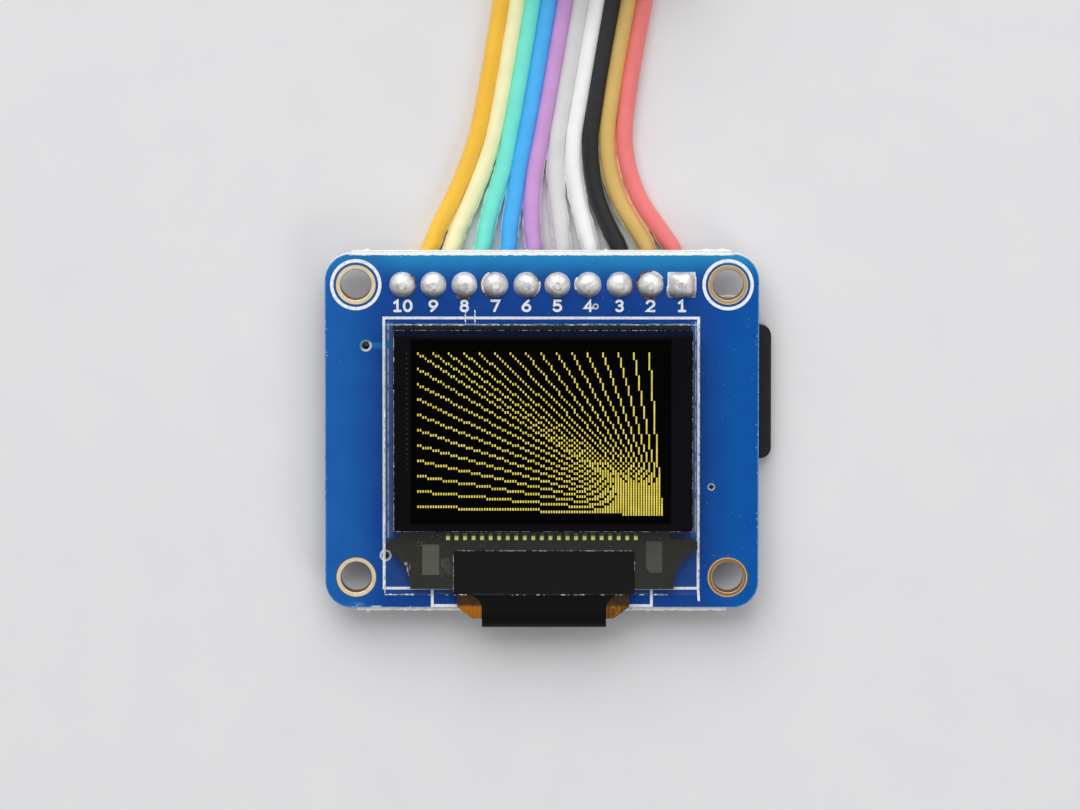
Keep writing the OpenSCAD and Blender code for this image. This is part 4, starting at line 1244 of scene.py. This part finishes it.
def moulding(name, dark, pale, matt, grain, per_mm=7):
    """Plastic, epoxy, ferrite or ceramic from a mould: nearly even, with a fine grain."""
    made = Finish(name, 0.4)
    tone = made.cloud(0.9, 3)
    return made.tones(
        tone, dark, pale,
        Roughness=matt + tone * 0.15,
        Normal=made.relief(made.cloud(per_mm, 3), grain),
    )


dress(moulding("black_moulding", (20, 20, 22), (34, 34, 36), 0.45, 0.02), "socket_base")
dress(moulding("card_plastic", (14, 17, 19), (20, 23, 25), 0.4, 0.012, 10), "memory_card")


# ---- Parts on the back ----
# Machine-placed chips, coil, diode, capacitors and resistors. Each stands on tinned lands
# in a concave fillet of solder.
dress(moulding("chip_epoxy", (30, 30, 32), (46, 46, 48), 0.55, 0.03, 9),
      "level_shifter", "regulator", "boost_converter", "diode")
dress(moulding("ferrite", (52, 52, 55), (74, 74, 77), 0.6, 0.04), "inductor_shield")
dress(moulding("ferrite_core", (60, 58, 56), (84, 80, 76), 0.55, 0.03), "inductor_core")
dress(moulding("ceramic_tan", (140, 112, 80), (172, 142, 106), 0.4, 0.015), "capacitors")
dress(moulding("resistor_coat", (18, 18, 20), (30, 30, 33), 0.3, 0.01), "resistors")
dress(tinned("tinned_leads", 0.25), "level_shifter_leads", "small_chip_leads", "diode_tabs",
      "capacitor_ends", "resistor_ends", "component_lands")


def outline_of(lo, hi, grow, h):
    """The corners of a box seen from above, cut a little, at one height."""
    cut = 0.06
    left, right, near, far = lo.x - grow, hi.x + grow, lo.y - grow, hi.y + grow
    return [(left + cut, near, h), (right - cut, near, h), (right, near + cut, h),
            (right, far - cut, h), (right - cut, far, h), (left + cut, far, h),
            (left, far - cut, h), (left, near + cut, h)]


def fillet(shape, end_lo, end_hi, land_lo, land_hi, share):
    """A concave skirt of solder, up a share of a part's end and out to the rim of its land."""
    foot = land_lo.z
    rise = (end_hi.z - end_lo.z) * share
    half_lo, half_hi = land_lo * 0.35 + end_lo * 0.65, land_hi * 0.35 + end_hi * 0.65
    shape.loft([
        outline_of(end_lo, end_hi, 0.01, foot - rise),
        outline_of(half_lo, half_hi, 0, foot - rise * 0.4),
        outline_of(land_lo, land_hi, -0.04, foot - 0.012),
    ])


lands = solids_of("component_lands")
fillets = Shape()
for node, share in (("capacitor_ends", 0.55), ("resistor_ends", 0.6), ("level_shifter_leads", 0.22),
                    ("small_chip_leads", 0.25), ("diode_tabs", 0.4)):
    for lo, hi in solids_of(node):
        mid = (lo + hi) / 2
        for land_lo, land_hi in lands:
            if land_lo.x < mid.x < land_hi.x and land_lo.y < mid.y < land_hi.y:
                fillet(fillets, lo, hi, land_lo, land_hi, share)
fillets.piece("part_fillets", solder, "solder", True)


# ---- Studio ----
# A pale plain sweep under the module. A wide soft lamp stands beyond the header, with a
# bright wall behind it and a dim one in front, and a weak lamp fills from the other side.
sweep = bpy.data.meshes.new("floor")
reach = 1.2
sweep.from_pydata(
    [(-reach, -reach, floor_z * MM), (reach, -reach, floor_z * MM),
     (reach, reach, floor_z * MM), (-reach, reach, floor_z * MM)], [], [(0, 1, 2, 3)]
)
paper = Finish("pale_paper", 0.1, Roughness=0.9)
paper.tones(paper.cloud(0.2, 4), (226, 226, 228), (232, 232, 233))
sweep.materials.append(paper.material)
floor = bpy.data.objects.new("floor", sweep)
scene.collection.objects.link(floor)


def soft_lamp(name, place, size, watts):
    """A square soft box that faces the module."""
    lamp = bpy.data.lights.new(name, "AREA")
    lamp.shape = "SQUARE"
    lamp.size = size
    lamp.energy = watts
    stand = bpy.data.objects.new(name, lamp)
    stand.location = place
    stand.rotation_euler = (-Vector(place)).to_track_quat("-Z", "Y").to_euler()
    scene.collection.objects.link(stand)


soft_lamp("key", (-0.1, 0.45, 0.45), 0.6, 2.8)
soft_lamp("fill", (0.35, -0.4, 0.4), 0.3, 0.9)
scene.world = bpy.data.worlds.new("studio")
scene.world.use_nodes = True
room = Graph(scene.world.node_tree)
towards = room.split(room.node("ShaderNodeTexCoord", {}, {}, "Generated"))["Y"]
room.fill(room.tree.nodes["Background"], {
    "Color": room.blend(0.15 + towards.ramp(-0.6, 0.9) * 0.75, (0, 0, 0), (1, 1, 1.01)),
    "Strength": 1.0,
})
